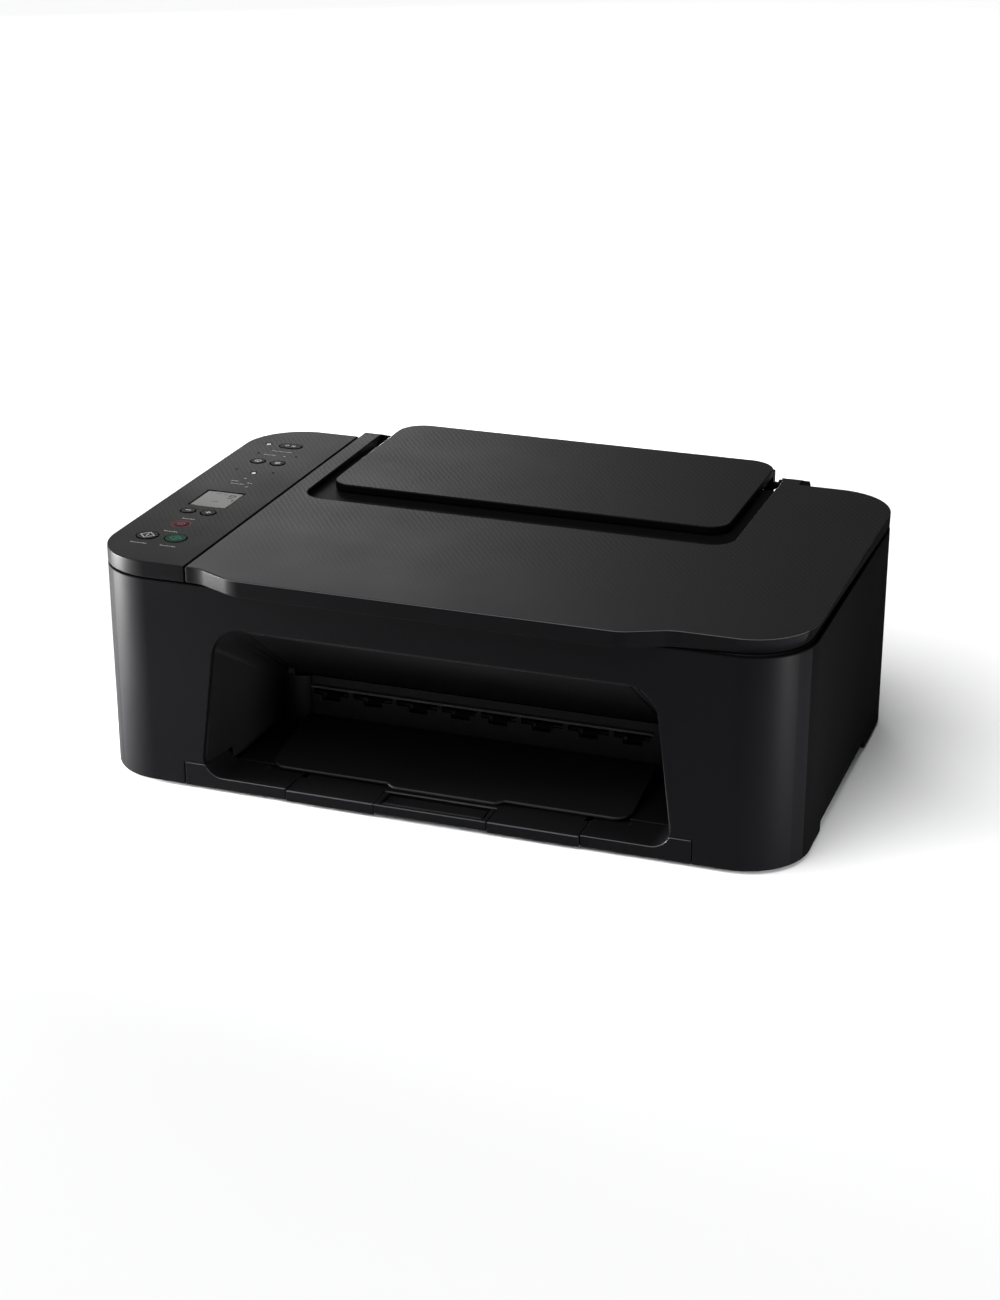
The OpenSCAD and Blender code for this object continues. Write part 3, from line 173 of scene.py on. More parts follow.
def softened(node, piece, edge, material, body="chassis", steps=2, shaped=None, smooth=30):
    """A moulding with its tool's edge radius, in millimetres: the construction part is copied and
    welded, and its edges are rounded. shaped is what is done to the copy before its edges are."""
    weld = 0.00001
    flat_within = 0.6
    sharpest = 28
    bpy.ops.object.select_all(action="DESELECT")
    copy = bpy.data.objects.new(piece, frame["nodes"][node].data.copy())
    bpy.context.scene.collection.objects.link(copy)
    bpy.context.view_layer.objects.active = copy
    copy.select_set(True)
    bpy.ops.object.mode_set(mode="EDIT")
    bpy.ops.mesh.select_all(action="SELECT")
    bpy.ops.mesh.remove_doubles(threshold=weld)
    bpy.ops.mesh.dissolve_limited(angle_limit=math.radians(flat_within))
    bpy.ops.object.mode_set(mode="OBJECT")
    copy.data.materials.clear()
    copy.data.materials.append(material)
    if shaped:
        shaped(copy)
    rounding = copy.modifiers.new("edge_radius", "BEVEL")
    rounding.width = edge / 1000
    rounding.segments = steps
    rounding.limit_method = "ANGLE"
    rounding.angle_limit = math.radians(sharpest)
    rounding.use_clamp_overlap = False
    rounding.miter_outer = "MITER_ARC"
    bpy.ops.object.modifier_apply(modifier="edge_radius")
    bpy.ops.object.shade_smooth_by_angle(angle=math.radians(smooth))
    even = copy.modifiers.new("face_weighted_shading", "WEIGHTED_NORMAL")
    even.keep_sharp = True
    bpy.ops.object.modifier_apply(modifier="face_weighted_shading")
    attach(copy, body)
    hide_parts(node)
    return copy


def second_finish(piece, material, chosen):
    """A second finish on the faces of a moulding that chosen(centre, normal) picks."""
    slots = piece.data.materials
    if slots.find(material.name) < 0:
        slots.append(material)
    for face in piece.data.polygons:
        if chosen(face.center, face.normal):
            face.material_index = slots.find(material.name)


# Satin ABS has a soft, weak highlight. The coarse grain has next to none, so the sides look even,
# and the grain of the corners lies between the two, so that the streak down them fades.
case_abs = moulded_plastic("satin_black_abs", "#08080a", 0.45, sheen=0.05)
side_abs = moulded_plastic("coarse_grained_black_abs", "#090909", 0.9, grain=0.8, relief=0.04, sheen=0.01)
turn_abs = moulded_plastic("grained_black_abs", "#08080a", 0.56, grain=0.6, relief=0.03, sheen=0.036)
frame_abs = moulded_plastic("satin_frame_abs", "#0c0c0d", 0.48, sheen=0.1)
side_x = 0.2
side_facing = 0.95
turn_x = 0.195
right_turn = 0.82
left_turn = 0.66
rim_z = 0.131


def on_outer_turn(centre, normal):
    """The corners' outer turn into the long sides, a narrow band on the right, a broad one left."""
    right = right_turn < normal.x <= side_facing
    left = -side_facing <= normal.x < -left_turn
    return abs(centre.x) > turn_x and (right or left)


def on_side_or_rim(centre, normal):
    """The two long sides, and the upper rim that the cover shades."""
    side = abs(normal.x) > side_facing and abs(centre.x) > side_x
    return side or (centre.z > rim_z and normal.z > 0.1)


case_moulding = softened("case_shell", "case_moulding", 0.9, case_abs)
second_finish(case_moulding, turn_abs, on_outer_turn)
second_finish(case_moulding, side_abs, on_side_or_rim)
frame_moulding = softened("front_frame", "front_frame_moulding", 0.9, frame_abs, steps=3)
second_finish(frame_moulding, case_abs, lambda centre, normal: normal.y < -0.8)
softened("base_pan", "base_pan_moulding", 0.6, side_abs)


# ---------------------------------------------------------------- feet and screws
# Four self-adhesive pads of dead matt rubber under the base pan, and the eight pressed steel screws
# that hold it, whose zinc plating looks pale and dull.
def worked_metal(name, colour, roughness, along=(1, 1, 1), line=0.3, spangle=0.0):
    """Metal with the fine lines of its rolling or turning, line millimetres apart and stretched
    along one axis, and for zinc the crystals of its coat: spangle is their size in millimetres."""
    relief = 0.01
    material = bpy.data.materials.new(name)
    material.use_nodes = True
    tree = material.node_tree
    surface = tree.nodes["Principled BSDF"]
    surface.inputs["Metallic"].default_value = 1.0
    place = add(tree, "ShaderNodeTexCoord")
    stretched = add(tree, "ShaderNodeMapping", {"Scale": tuple(1000.0 / line * a for a in along)},
                    {"Vector": place.outputs["Object"]})
    lines = add(tree, "ShaderNodeTexNoise", {"Scale": 1.0, "Detail": 3.0}, {"Vector": stretched.outputs[0]})
    tones = lines.outputs["Fac"]
    if spangle:
        crystals = add(tree, "ShaderNodeTexVoronoi", {"Scale": 1000.0 / spangle},
                       {"Vector": place.outputs["Object"]})
        grey = add(tree, "ShaderNodeRGBToBW", None, {"Color": crystals.outputs["Color"]})
        mixed = add(tree, "ShaderNodeMix", {"data_type": "FLOAT", 0: 0.65},
                    {2: lines.outputs["Fac"], 3: grey.outputs[0]})
        tones = mixed.outputs[0]
    dark = tuple(c * 0.82 for c in linear(colour)[:3]) + (1.0,)
    tone = add(tree, "ShaderNodeMix", {"data_type": "RGBA", 6: dark, 7: linear(colour)}, {0: tones})
    tree.links.new(tone.outputs[2], surface.inputs["Base Color"])
    gloss = add(tree, "ShaderNodeMapRange", {"To Min": roughness - 0.08, "To Max": roughness + 0.1},
                {"Value": tones})
    tree.links.new(gloss.outputs[0], surface.inputs["Roughness"])
    bump = add(tree, "ShaderNodeBump", {"Strength": 0.3, "Distance": relief / 1000},
               {"Height": lines.outputs["Fac"]})
    tree.links.new(bump.outputs[0], surface.inputs["Normal"])
    return material


foot_rubber = moulded_plastic("matt_black_rubber", "#141414", 0.85, grain=0.6, relief=0.03, sheen=0.3)
softened("feet", "rubber_feet", 0.5, foot_rubber)
zinc_screws = worked_metal("zinc_plated_screw_steel", "#a8aaae", 0.35, line=0.5)
softened("screws", "pan_head_screws", 0.4, zinc_screws)


# ---------------------------------------------------------------- document cover
# The flat lid over the scanner: dark grey ABS in one moulding. Its upper face is embossed with a
# fine diagonal basket weave, its edge is plain and black, the recess behind is painted near-black
# as shade, and its side edge is undercut.
def embossed_plastic(name, colour, roughness, depth, sheen, contrast, matt=0.0):
    """Moulded plastic embossed with a diagonal weave, depth millimetres deep. The emboss is patchy
    and runs out towards the front edge, and matt is how much rougher the plastic is there."""
    band = 3.1
    thread = 5.2
    lean = math.radians(-36)
    patch_size = 33.33
    worn_y, woven_y = -0.14, -0.02
    matt_y, glossy_y = -0.12, 0.03
    even = 0.45
    material = moulded_plastic(name, colour, roughness, sheen=sheen)
    tree = material.node_tree
    surface = tree.nodes["Principled BSDF"]
    place = add(tree, "ShaderNodeTexCoord")
    # In millimetres, turned to lie along the ribs. A wave's bands are pi / 10 apart at scale 1.
    turned = add(tree, "ShaderNodeMapping", {"Scale": (1000.0,) * 3, "Rotation": (0, 0, lean)},
                 {"Vector": place.outputs["Object"]})
    ribs = add(tree, "ShaderNodeTexWave",
               {"bands_direction": "X", "Scale": math.pi / 10 / band, "Distortion": 2.2, "Detail": 1.0,
                "Detail Scale": 1.6}, {"Vector": turned.outputs[0]})
    across = add(tree, "ShaderNodeTexWave",
                 {"bands_direction": "Y", "Scale": math.pi / 10 / thread, "Distortion": 2.5, "Detail": 1.0,
                  "Detail Scale": 2.0}, {"Vector": turned.outputs[0]})
    crossed = add(tree, "ShaderNodeMapRange", {"To Min": 0.6, "To Max": 1.0},
                  {"Value": across.outputs["Fac"]})
    weave = add(tree, "ShaderNodeMath", {"operation": "MULTIPLY"},
                {0: ribs.outputs["Fac"], 1: crossed.outputs[0]})
    parts = add(tree, "ShaderNodeSeparateXYZ", None, {0: place.outputs["Object"]})
    patches = add(tree, "ShaderNodeTexNoise", {"Scale": 1000.0 / patch_size, "Detail": 2.0},
                  {"Vector": place.outputs["Object"]})
    rearward = add(tree, "ShaderNodeMapRange",
                   {"From Min": worn_y, "From Max": woven_y, "To Min": 0.15, "To Max": 1.0},
                   {"Value": parts.outputs[1]})
    uneven = add(tree, "ShaderNodeMapRange",
                 {"From Min": 0.35, "From Max": 0.65, "To Min": 0.45, "To Max": 1.0},
                 {"Value": patches.outputs["Fac"]})
    strength = add(tree, "ShaderNodeMath", {"operation": "MULTIPLY"},
                   {0: rearward.outputs[0], 1: uneven.outputs[0]})
    weave = add(tree, "ShaderNodeMix", {"data_type": "FLOAT", 2: even},
                {0: strength.outputs[0], 3: weave.outputs[0]})
    plain_colour = surface.inputs["Base Color"].links[0].from_socket
    level = add(tree, "ShaderNodeMapRange", {"To Min": 1 - contrast, "To Max": 1 + contrast * 1.2},
                {"Value": weave.outputs[0]})
    worn = add(tree, "ShaderNodeMix", {"data_type": "RGBA", "blend_type": "MULTIPLY", 0: 1.0},
               {6: plain_colour, 7: level.outputs[0]})
    tree.links.new(worn.outputs[2], surface.inputs["Base Color"])
    plain_gloss = surface.inputs["Roughness"].links[0].from_socket
    dulled = add(tree, "ShaderNodeMapRange", {"To Min": contrast * 0.25, "To Max": -contrast * 0.2},
                 {"Value": weave.outputs[0]})
    gloss = add(tree, "ShaderNodeMath", {"operation": "ADD"}, {0: plain_gloss, 1: dulled.outputs[0]})
    if matt:
        forward = add(tree, "ShaderNodeMapRange",
                      {"From Min": glossy_y, "From Max": matt_y, "To Min": 0.0, "To Max": matt},
                      {"Value": parts.outputs[1]})
        gloss = add(tree, "ShaderNodeMath", {"operation": "ADD"},
                    {0: gloss.outputs[0], 1: forward.outputs[0]})
    tree.links.new(gloss.outputs[0], surface.inputs["Roughness"])
    plain_normal = surface.inputs["Normal"].links[0].from_socket
    relief = add(tree, "ShaderNodeBump", {"Strength": 1.0, "Distance": depth / 1000},
                 {"Height": weave.outputs[0], "Normal": plain_normal})
    tree.links.new(relief.outputs[0], surface.inputs["Normal"])
    return material


# The cover's top is semi-matt. Its edge is black and shinier, and its front rim carries a painted
# highlight, a pale line. The near-black is painted shade, dead enough to read as a shadow in the gaps.
cover_abs = embossed_plastic("embossed_dark_abs", "#1a1a1b", 0.5, depth=0.035, sheen=0.1, contrast=0.18)
edge_abs = moulded_plastic("plain_dark_abs_edge", "#08080a", 0.42, sheen=0.055)
highlight_abs = moulded_plastic("painted_highlight_abs_rim", "#3a3a3d", 0.4, sheen=0.2)
black_and_shade_abs = moulded_plastic("black_abs_and_painted_shade", "#060607", 0.6, sheen=0.05)
undercut = 0.004
undercut_top = 0.1335
undercut_x = 0.14
undercut_right_x, undercut_front_y, undercut_rear_y = 0.19, -0.14, 0.1205
grows_over, fades_y, fades_over = 0.06, 0.1, 0.07
arc_x, arc_front_y, arc_rear_y = 0.1785, -0.107, 0.081


def eased(share):
    """A share, kept between 0 and 1, that starts and ends gently."""
    share = min(1.0, max(0.0, share))
    return share * share * (3 - 2 * share)


def undercut_edge(cover):
    """The lower edge goes in under the right side, fading out round the front corner and towards
    the rear. A point moves towards the centre of its corner's arc, or square to the side."""
    for point in cover.data.vertices:
        x, y, z = point.co
        on_edge = x > undercut_x and (x > undercut_right_x or y < undercut_front_y) and y < undercut_rear_y
        if on_edge and z < undercut_top:
            depth = eased((x - undercut_x) / grows_over) * eased((fades_y - y) / fades_over) * undercut
            arc_y = max(y, arc_front_y) if y < 0 else min(y, arc_rear_y)
            inward = Vector((min(x, arc_x), arc_y, z)) - point.co
            if inward.length > 0.001:
                point.co += inward.normalized() * depth


recess_x, recess_y = 0.1402, -0.0082
lid_z, bevel_z, lower_z = 0.1432, 0.1422, 0.135
cover_left_x, seam_x = -0.15, -0.1502
rim_y, rim_left_x, rim_low_z = -0.12, -0.128, 0.1415
arm_y = 0.1215


def on_upright_edge(centre, normal):
    """The cover's upright edge, but not the recess, which is as wide as the paper support."""
    outside = abs(centre.x) > recess_x or centre.y < recess_y
    return centre.x > cover_left_x and abs(normal.z) < 0.5 and outside


def on_front_rim(centre, normal):
    """The upper bevel along the front lip."""
    return centre.y < rim_y and centre.z > rim_low_z and centre.x > rim_left_x and 0.3 < normal.z < 0.93


def on_painted_shade(centre, normal):
    """The recess with its walls, the edge against the panel, and the bevel underneath: painted shade."""
    recess = abs(centre.x) < recess_x and centre.y > recess_y and centre.z < lid_z
    if recess and (normal.z < 0.98 or centre.z < bevel_z):
        return True
    return (centre.x < seam_x and normal.x < -0.25) or (centre.z < lower_z and normal.z < -0.1)


def on_side_or_arms(centre, normal):
    """The right edge, and the ends of the two hinge arms."""
    right = centre.x > undercut_right_x and normal.x > 0.87 and normal.z < 0.85
    return right or (centre.y > arm_y and normal.z < 0.9)


cover_moulding = softened("document_cover", "cover_moulding", 1.0, cover_abs, body="cover",
                          steps=3, shaped=undercut_edge)
second_finish(cover_moulding, edge_abs, on_upright_edge)
# Painted highlight: a pale line along the upper bevel of the front lip.
second_finish(cover_moulding, highlight_abs, on_front_rim)
second_finish(cover_moulding, black_and_shade_abs, on_painted_shade)
second_finish(cover_moulding, side_abs, on_side_or_arms)


# ---------------------------------------------------------------- pressing pad
# The sheet of white foam under matt film in the cover's pocket, stuck on with tape. It presses the
# page flat on the glass, so it has soft, slightly swollen edges.
pad_film = moulded_plastic("matt_white_foam_film", "#e8e8e4", 0.7, grain=0.9, relief=0.03, sheen=0.3,
                           blotch=0.02)
pad_low, pad_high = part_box("pressing_pad")
pad_middle = (pad_low + pad_high) / 2
pad_score_z = 0.1345
pad_rim_z = 0.1325
pad_draw = 0.0011


def scored_across(piece, z):
    """A line of new edges round a piece at one height."""
    bpy.ops.object.mode_set(mode="EDIT")
    bpy.ops.mesh.select_all(action="SELECT")
    bpy.ops.mesh.bisect(plane_co=(0, 0, z), plane_no=(0, 0, 1))
    bpy.ops.object.mode_set(mode="OBJECT")


def drawn_in(pad):
    """The foam's lower rim draws in under a line round its sides, so that its middle stands."""
    scored_across(pad, pad_score_z)
    for point in pad.data.vertices:
        if point.co.z < pad_rim_z:
            point.co.x += pad_draw if point.co.x < pad_middle.x else -pad_draw
            point.co.y += pad_draw if point.co.y < pad_middle.y else -pad_draw


pressing_pad = softened("pressing_pad", "foam_pressing_pad", 0.6, pad_film, body="cover",
                        steps=3, shaped=drawn_in)


# ---------------------------------------------------------------- paper support
# The folding plate behind the cover: the same embossed ABS on two pins at the back, its edges in
# painted shade. The slot cover under it is a plain black flap, and the guides slide in the tray.
support_moulding = softened("paper_support", "support_moulding", 1.0, cover_abs,
                            body="support", steps=3)
# Painted shade: the plate's edges in near-black.
second_finish(support_moulding, black_and_shade_abs, lambda centre, normal: normal.z < 0.8)
# The inner mouldings are straight from a matt tool: they look grey where light falls on them.
inner_abs = moulded_plastic("matt_inner_abs", "#1a1a1c", 0.55, sheen=0.3)
softened("slot_cover", "slot_cover_moulding", 0.4, black_and_shade_abs, body="slot_cover")
softened("rear_tray", "rear_tray_moulding", 0.5, case_abs)
softened("guide_left", "guide_left_moulding", 0.4, inner_abs, body="guide_left")
softened("guide_right", "guide_right_moulding", 0.4, inner_abs, body="guide_right")


# ---------------------------------------------------------------- key panel
# The fixed strip left of the cover: the same dark ABS, embossed at the rear and smooth towards the
# front corner, with a plain edge. Its labels are pad printed.
panel_abs = embossed_plastic("panel_dark_abs", "#151516", 0.5, depth=0.03, sheen=0.06, contrast=0.14,
                             matt=0.1)
panel_seam_x, panel_edge_x, panel_edge_z = -0.1532, -0.154, 0.1335


def on_panel_edge(centre, normal):
    """The panel's upright edge, but not the wall at the seam."""
    return centre.x < panel_edge_x and abs(normal.z) < 0.35 and centre.z > panel_edge_z


panel_moulding = softened("panel_cap", "panel_moulding", 0.9, panel_abs, steps=3)
# The wall at the seam is near-black: painted shade in the gap against the cover.
second_finish(panel_moulding, black_and_shade_abs, lambda centre, normal: centre.x > panel_seam_x and normal.x > 0.25)
second_finish(panel_moulding, edge_abs, on_panel_edge)
second_finish(panel_moulding, turn_abs, lambda centre, normal: normal.x < -left_turn and normal.z < 0.5)

# Matt ink takes no highlight from the panel. It lies a hair off the plastic, so that the two
# don't flicker into each other.
white_ink = moulded_plastic("pad_printed_pale_ink", "#8f8f8c", 0.6, grain=0.5, relief=0.005, sheen=0.3)
dark_ink = moulded_plastic("pad_printed_dark_ink", "#040405", 0.7, grain=0.5, relief=0.005, sheen=0.02)
red_ink = moulded_plastic("stop_ring_red_ink", "#5a1f27", 0.6, grain=0.5, relief=0.005, sheen=0.05)
ink = 0.00003
ink_gap = 0.00001
bar, triangle, square = 0, 3, 4


def top_of(node):
    """The height at which print lies on a construction part."""
    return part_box(node)[1][2] + ink_gap


def middle_of(node):
    """The middle of a construction part seen from above, to a tenth of a millimetre."""
    low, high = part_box(node)
    return round((low.x + high.x) * 500, 1), round((low.y + high.y) * 500, 1)


def printed(corners, x, y, z, size, stroke=0.0, turn=0.0, width=None):
    """One raised stroke of print, in millimetres but for its height z: a bar of size by width, or
    a ring or polygon with so many corners, which stroke makes hollow."""
    place = (x / 1000, y / 1000, z)
    turned = (0, 0, math.radians(turn))
    bpy.ops.object.select_all(action="DESELECT")
    if corners:
        bpy.ops.mesh.primitive_circle_add(vertices=corners, radius=size / 2000, fill_type="NGON",
                                          location=place, rotation=turned)
    else:
        bpy.ops.mesh.primitive_plane_add(size=0.001, location=place, rotation=turned)
    mark = bpy.context.object
    mark.scale = (1, (width or size) / size, 1) if corners else (size, width, 1)
    bpy.ops.object.transform_apply(location=True, rotation=True, scale=True)
    bpy.ops.object.mode_set(mode="EDIT")
    bpy.ops.mesh.select_all(action="SELECT")
    if stroke:
        bpy.ops.mesh.inset(thickness=stroke / 1000)
        bpy.ops.mesh.delete(type="FACE")
        bpy.ops.mesh.select_all(action="SELECT")
    bpy.ops.mesh.extrude_region_move(TRANSFORM_OT_translate={"value": (0, 0, ink)})
    bpy.ops.mesh.select_all(action="SELECT")
    bpy.ops.mesh.normals_make_consistent(inside=False)
    bpy.ops.object.mode_set(mode="OBJECT")
    return mark


def print_of(name, marks, material, body):
    """Strokes joined to one print on its own piece."""
    bpy.ops.object.select_all(action="DESELECT")
    for mark in marks:
        mark.select_set(True)
    bpy.context.view_layer.objects.active = marks[0]
    if len(marks) > 1:
        bpy.ops.object.join()
    piece = bpy.context.object
    piece.name = name
    piece.data.materials.clear()
    piece.data.materials.append(material)
    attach(piece, body)


mark_z = top_of("panel_cap")
lamp_z = top_of("panel_lamps")
letter_high = 1.3
letter_step = 1.5


def label(x, y, length):
    """A word as it reads at arm's length: a row of short strokes, two of them tall."""
    count = max(2, round(length / letter_step))
    step = length / count
    marks = []
    for i in range(count):
        run = (i + 0.5 - count / 2) * step
        tall = letter_high * (1.0 if i in (0, count - 2) else 0.68)
        drop = (letter_high - tall) / 2
        marks.append(printed(bar, x + run, y - drop, mark_z, step * 0.72, width=tall))
    return marks


# The labels' middles and lengths, from the power key at the rear to the start keys at the front.
labels = []
for x, y, length in ((-187, 71.6, 14.5), (-191.6, 62.6, 9), (-190.5, 6.4, 5.5), (-186.6, 1.6, 9.5),
                     (-179.6, 5.0, 3.6), (-186.3, -69.6, 8.6), (-186.4, -93.6, 9.5), (-195.9, -117.8, 11),
                     (-176.6, -117.6, 10.5)):
    labels += label(x, y, length)
# The icons, and a pale dot on the power lamp's rod, which is a painted glint.
labels += [printed(triangle, -181.2, 62.6, mark_z, 2.6, stroke=0.45, turn=90),
           printed(20, -202, 84, lamp_z, 1.2),
           printed(triangle, -186.2, 12.8, mark_z, 2.6, stroke=0.5, turn=-90),
           printed(square, -178.5, -2.4, mark_z, 2.2, stroke=0.4, turn=45)]
print_of("panel_labels_and_lamp_glint", labels, white_ink, "chassis")

# Four dots round the wireless keys, and a dark bracket at each corner of the display.
display_x, display_y = middle_of("display")
bracket_x, bracket_y = 12.9, 14.9
marks = [printed(bar, x, y, mark_z, 1.6, width=2.2) for x, y in
         ((-199.6, 28.4), (-174.0, 28.8), (-200.4, 64.0), (-173.6, 64.2))]
for up in (1, -1):
    for across in (1, -1):
        x = display_x - across * bracket_x
        y = display_y - up * bracket_y
        marks.append(printed(bar, x + across * 2.6, y, mark_z, 5.2, width=0.6))
        marks.append(printed(bar, x, y + up * 1.6, mark_z, 0.6, width=3.2))
print_of("panel_corner_marks", marks, dark_ink, "chassis")
stop_ring = printed(40, *middle_of("key_stop"), mark_z, 12.4, stroke=1.4)
print_of("stop_key_ring", [stop_ring], red_ink, "chassis")


# ---------------------------------------------------------------- display and lamps
# A grey liquid-crystal window set flush in the panel, with its dark segments under the polariser,
# and two clear lamp rods.
lcd_grey = moulded_plastic("polariser_grey_glass", "#616360", 0.45, grain=1.2, relief=0.004, sheen=0.1,
                           blotch=0.04)
softened("display", "display_window", 0.25, lcd_grey)
segment_ink = moulded_plastic("liquid_crystal_segments", "#121312", 0.5, grain=0.5, relief=0.003, sheen=0.1)
glass_z = top_of("display")
# A hollow digit, and six bars by their places across and up from the display's middle.
segments = [printed(bar, display_x + 7, display_y + 8.6, glass_z, 4.4, stroke=1.0, width=3.6)]
for across, up, size, width in ((6.8, 4.4, 3.8, 1.1), (1.8, 9.8, 2.6, 0.6), (-3.2, 10.4, 3.6, 0.5),
                                (10, 1, 1.2, 3.0), (-0.3, -4, 3.4, 0.6), (1.8, -3.4, 0.6, 1.6)):
    segments.append(printed(bar, display_x + across, display_y + up, glass_z, size, width=width))
print_of("display_segments", segments, segment_ink, "chassis")
lamp_acrylic = moulded_plastic("clear_acrylic_lamp", "#b4b4ae", 0.3, grain=0.6, relief=0.004, sheen=0.5)
softened("panel_lamps", "lamp_rods", 0.3, lamp_acrylic)


# ---------------------------------------------------------------- keys
# Eight rubber-domed keys in satin ABS, each through its own hole. Pale icons are pad printed on
# them, and the stop and colour keys are moulded in their own colours.
key_abs = moulded_plastic("satin_key_abs", "#0b0b0c", 0.55, sheen=0.05)
key_red = moulded_plastic("stop_key_red_abs", "#35161b", 0.6, sheen=0.04)
key_green = moulded_plastic("start_key_green_abs", "#0a3124", 0.6, sheen=0.04)
key_ink = moulded_plastic("key_pale_ink", "#b4b4b0", 0.6, grain=0.5, relief=0.005, sheen=0.3)
stop_ink = moulded_plastic("stop_icon_pink_ink", "#7d5258", 0.6, grain=0.5, relief=0.005, sheen=0.05)
start_ink = moulded_plastic("start_icon_mint_ink", "#2f6b55", 0.6, grain=0.5, relief=0.005, sheen=0.05)
key_z = top_of("key_power")
# Each icon's strokes: corners, place across and up from the key's middle, size, and the rest.
icons = {
    "power": ((24, -2.6, 0, 2.6, {"stroke": 0.5}), (bar, 1.1, 0, 0.5, {"width": 2.6}),
              (bar, 2.9, 0, 0.5, {"width": 2.6}), (bar, 2.0, 0, 0.5, {"turn": 32, "width": 2.7})),
    "wireless": ((24, 0, -0.8, 1.6, {}), (24, 0, 0.2, 4.4, {"stroke": 0.5})),
    "info": ((square, 0, 0, 4.4, {"stroke": 0.5, "turn": 45}), (bar, 0, 0.2, 1.8, {"width": 0.5}),
             (bar, 0, -0.8, 1.8, {"width": 0.5})),
    "minus": ((bar, 0, 0, 3.6, {"width": 0.8}),),
    "plus": ((bar, 0, 0, 3.6, {"width": 0.8}), (bar, 0, 0, 0.8, {"width": 3.6})),
    "stop": ((28, 0, 0, 4.6, {"stroke": 0.5}), (triangle, 0, 0, 2.0, {"turn": 90})),
    "color": ((square, 0, 0, 8.0, {"stroke": 0.5}), (bar, 0, 0, 0.55, {"width": 4.6}),
              (bar, 1.8, 0, 2.6, {"width": 0.5})),
    "black": ((square, 0, 0, 9.8, {"stroke": 0.55}), (bar, 0, 0, 0.6, {"width": 4.2}))}
coloured = {"stop": (key_red, "key_red", stop_ink), "color": (key_green, "key_green", start_ink)}
for key in icons:
    finish, slot, icon_ink = coloured.get(key, (key_abs, "key_plastic", key_ink))
    softened("key_" + key, key + "_key_cap", 0.35, finish, body="key_" + key)
for key, strokes in icons.items():
    finish, slot, icon_ink = coloured.get(key, (key_abs, "key_plastic", key_ink))
    key_x, key_y = middle_of("key_" + key)
    strokes = [printed(corners, key_x + across, key_y + up, key_z, size, **rest)
               for corners, across, up, size, rest in strokes]
    print_of(key + "_key_icon", strokes, icon_ink, "key_" + key)


# ---------------------------------------------------------------- output bay
# The lined bay in front of the rollers: matt black ABS mouldings, which are the liner, the sloping
# floor, the exit wall with its roller slots, the access door in the ceiling and the folding tray.
bay_abs = moulded_plastic("matt_bay_abs", "#0b0b0c", 0.5, sheen=0.15)
tray_abs = moulded_plastic("matt_tray_abs", "#0e0e0f", 0.5, sheen=0.1)
# The floor's front edge is paler and glossier than the rest: the paler colour is a painted highlight.
floor_highlight_abs = moulded_plastic("painted_highlight_floor_edge_abs", "#1a1a1b", 0.45, sheen=0.2)
floor_edge_x, floor_edge_y, floor_edge_z = 0.1142, -0.117, 0.0082


def on_floor_edge(centre, normal):
    """The floor's front edge between its two rails."""
    between = abs(centre.x) < floor_edge_x and centre.z > floor_edge_z
    return between and centre.y < floor_edge_y and normal.y < -0.2


softened("bay_liner", "bay_liner_moulding", 0.4, bay_abs, smooth=55)
floor_moulding = softened("tray_floor", "tray_floor_moulding", 0.9, tray_abs, steps=3)
second_finish(floor_moulding, floor_highlight_abs, on_floor_edge)

# A line across the lip over the slots makes the lower half of its front a face of its own, for a painted
# highlight.
lip_low_z, lip_score_z, highlight_high_z, lip_high_z = 0.0386, 0.0403, 0.0404, 0.0427
lip_curve = 0.0003
exit_moulding = softened("exit_guide", "exit_guide_moulding", 0.3, bay_abs,
                         shaped=lambda wall: scored_across(wall, lip_score_z))
lip_faces = [face for face in exit_moulding.data.polygons if lip_low_z < face.center.z < lip_high_z]
lip_front = min(face.center.y for face in lip_faces)


def on_painted_highlight_lip(centre, normal):
    """The lower half of the lip's front, where a pale line is painted as a highlight."""
    return lip_low_z < centre.z < highlight_high_z and centre.y < lip_front + lip_curve


second_finish(exit_moulding, highlight_abs, on_painted_highlight_lip)
softened("access_cover", "access_cover_moulding", 0.4, bay_abs, body="access_cover")

# The half-round post at the left end of the exit wall, which hides the rollers' bearing: a drum
# with a domed foot, moulded with the wall.
post_foot = (-0.1195, -0.0615, 0.021)
post_radius = 0.0095
post_height = 0.026
post_depth = 0.45
wall_y = -0.061
bpy.ops.object.select_all(action="DESELECT")
bpy.ops.mesh.primitive_uv_sphere_add(segments=32, ring_count=16, radius=post_radius, location=post_foot)
bearing_post = bpy.context.object
bearing_post.name = "bearing_post"
bpy.ops.object.mode_set(mode="EDIT")
bpy.ops.mesh.select_all(action="SELECT")
bpy.ops.mesh.bisect(plane_co=post_foot, plane_no=(0, 0, 1), clear_outer=True)
bpy.ops.mesh.select_all(action="DESELECT")
bpy.ops.object.mode_set(mode="OBJECT")
for edge in bearing_post.data.edges:
    edge.select = all(abs(bearing_post.data.vertices[v].co.z) < 1e-6 for v in edge.vertices)
bpy.ops.object.mode_set(mode="EDIT")
bpy.ops.mesh.select_mode(type="EDGE")
bpy.ops.mesh.extrude_region_move(TRANSFORM_OT_translate={"value": (0, 0, post_height)})
bpy.ops.mesh.edge_face_add()
bpy.ops.mesh.select_all(action="SELECT")
bpy.ops.transform.resize(value=(1.0, post_depth, 1.0), center_override=post_foot)
bpy.ops.mesh.bisect(plane_co=(0, wall_y, 0), plane_no=(0, 1, 0), clear_outer=True, use_fill=True)
bpy.ops.mesh.select_all(action="SELECT")
bpy.ops.mesh.normals_make_consistent(inside=False)
bpy.ops.mesh.select_mode(type="VERT")
bpy.ops.object.mode_set(mode="OBJECT")
bpy.ops.object.transform_apply(location=True, rotation=True, scale=True)
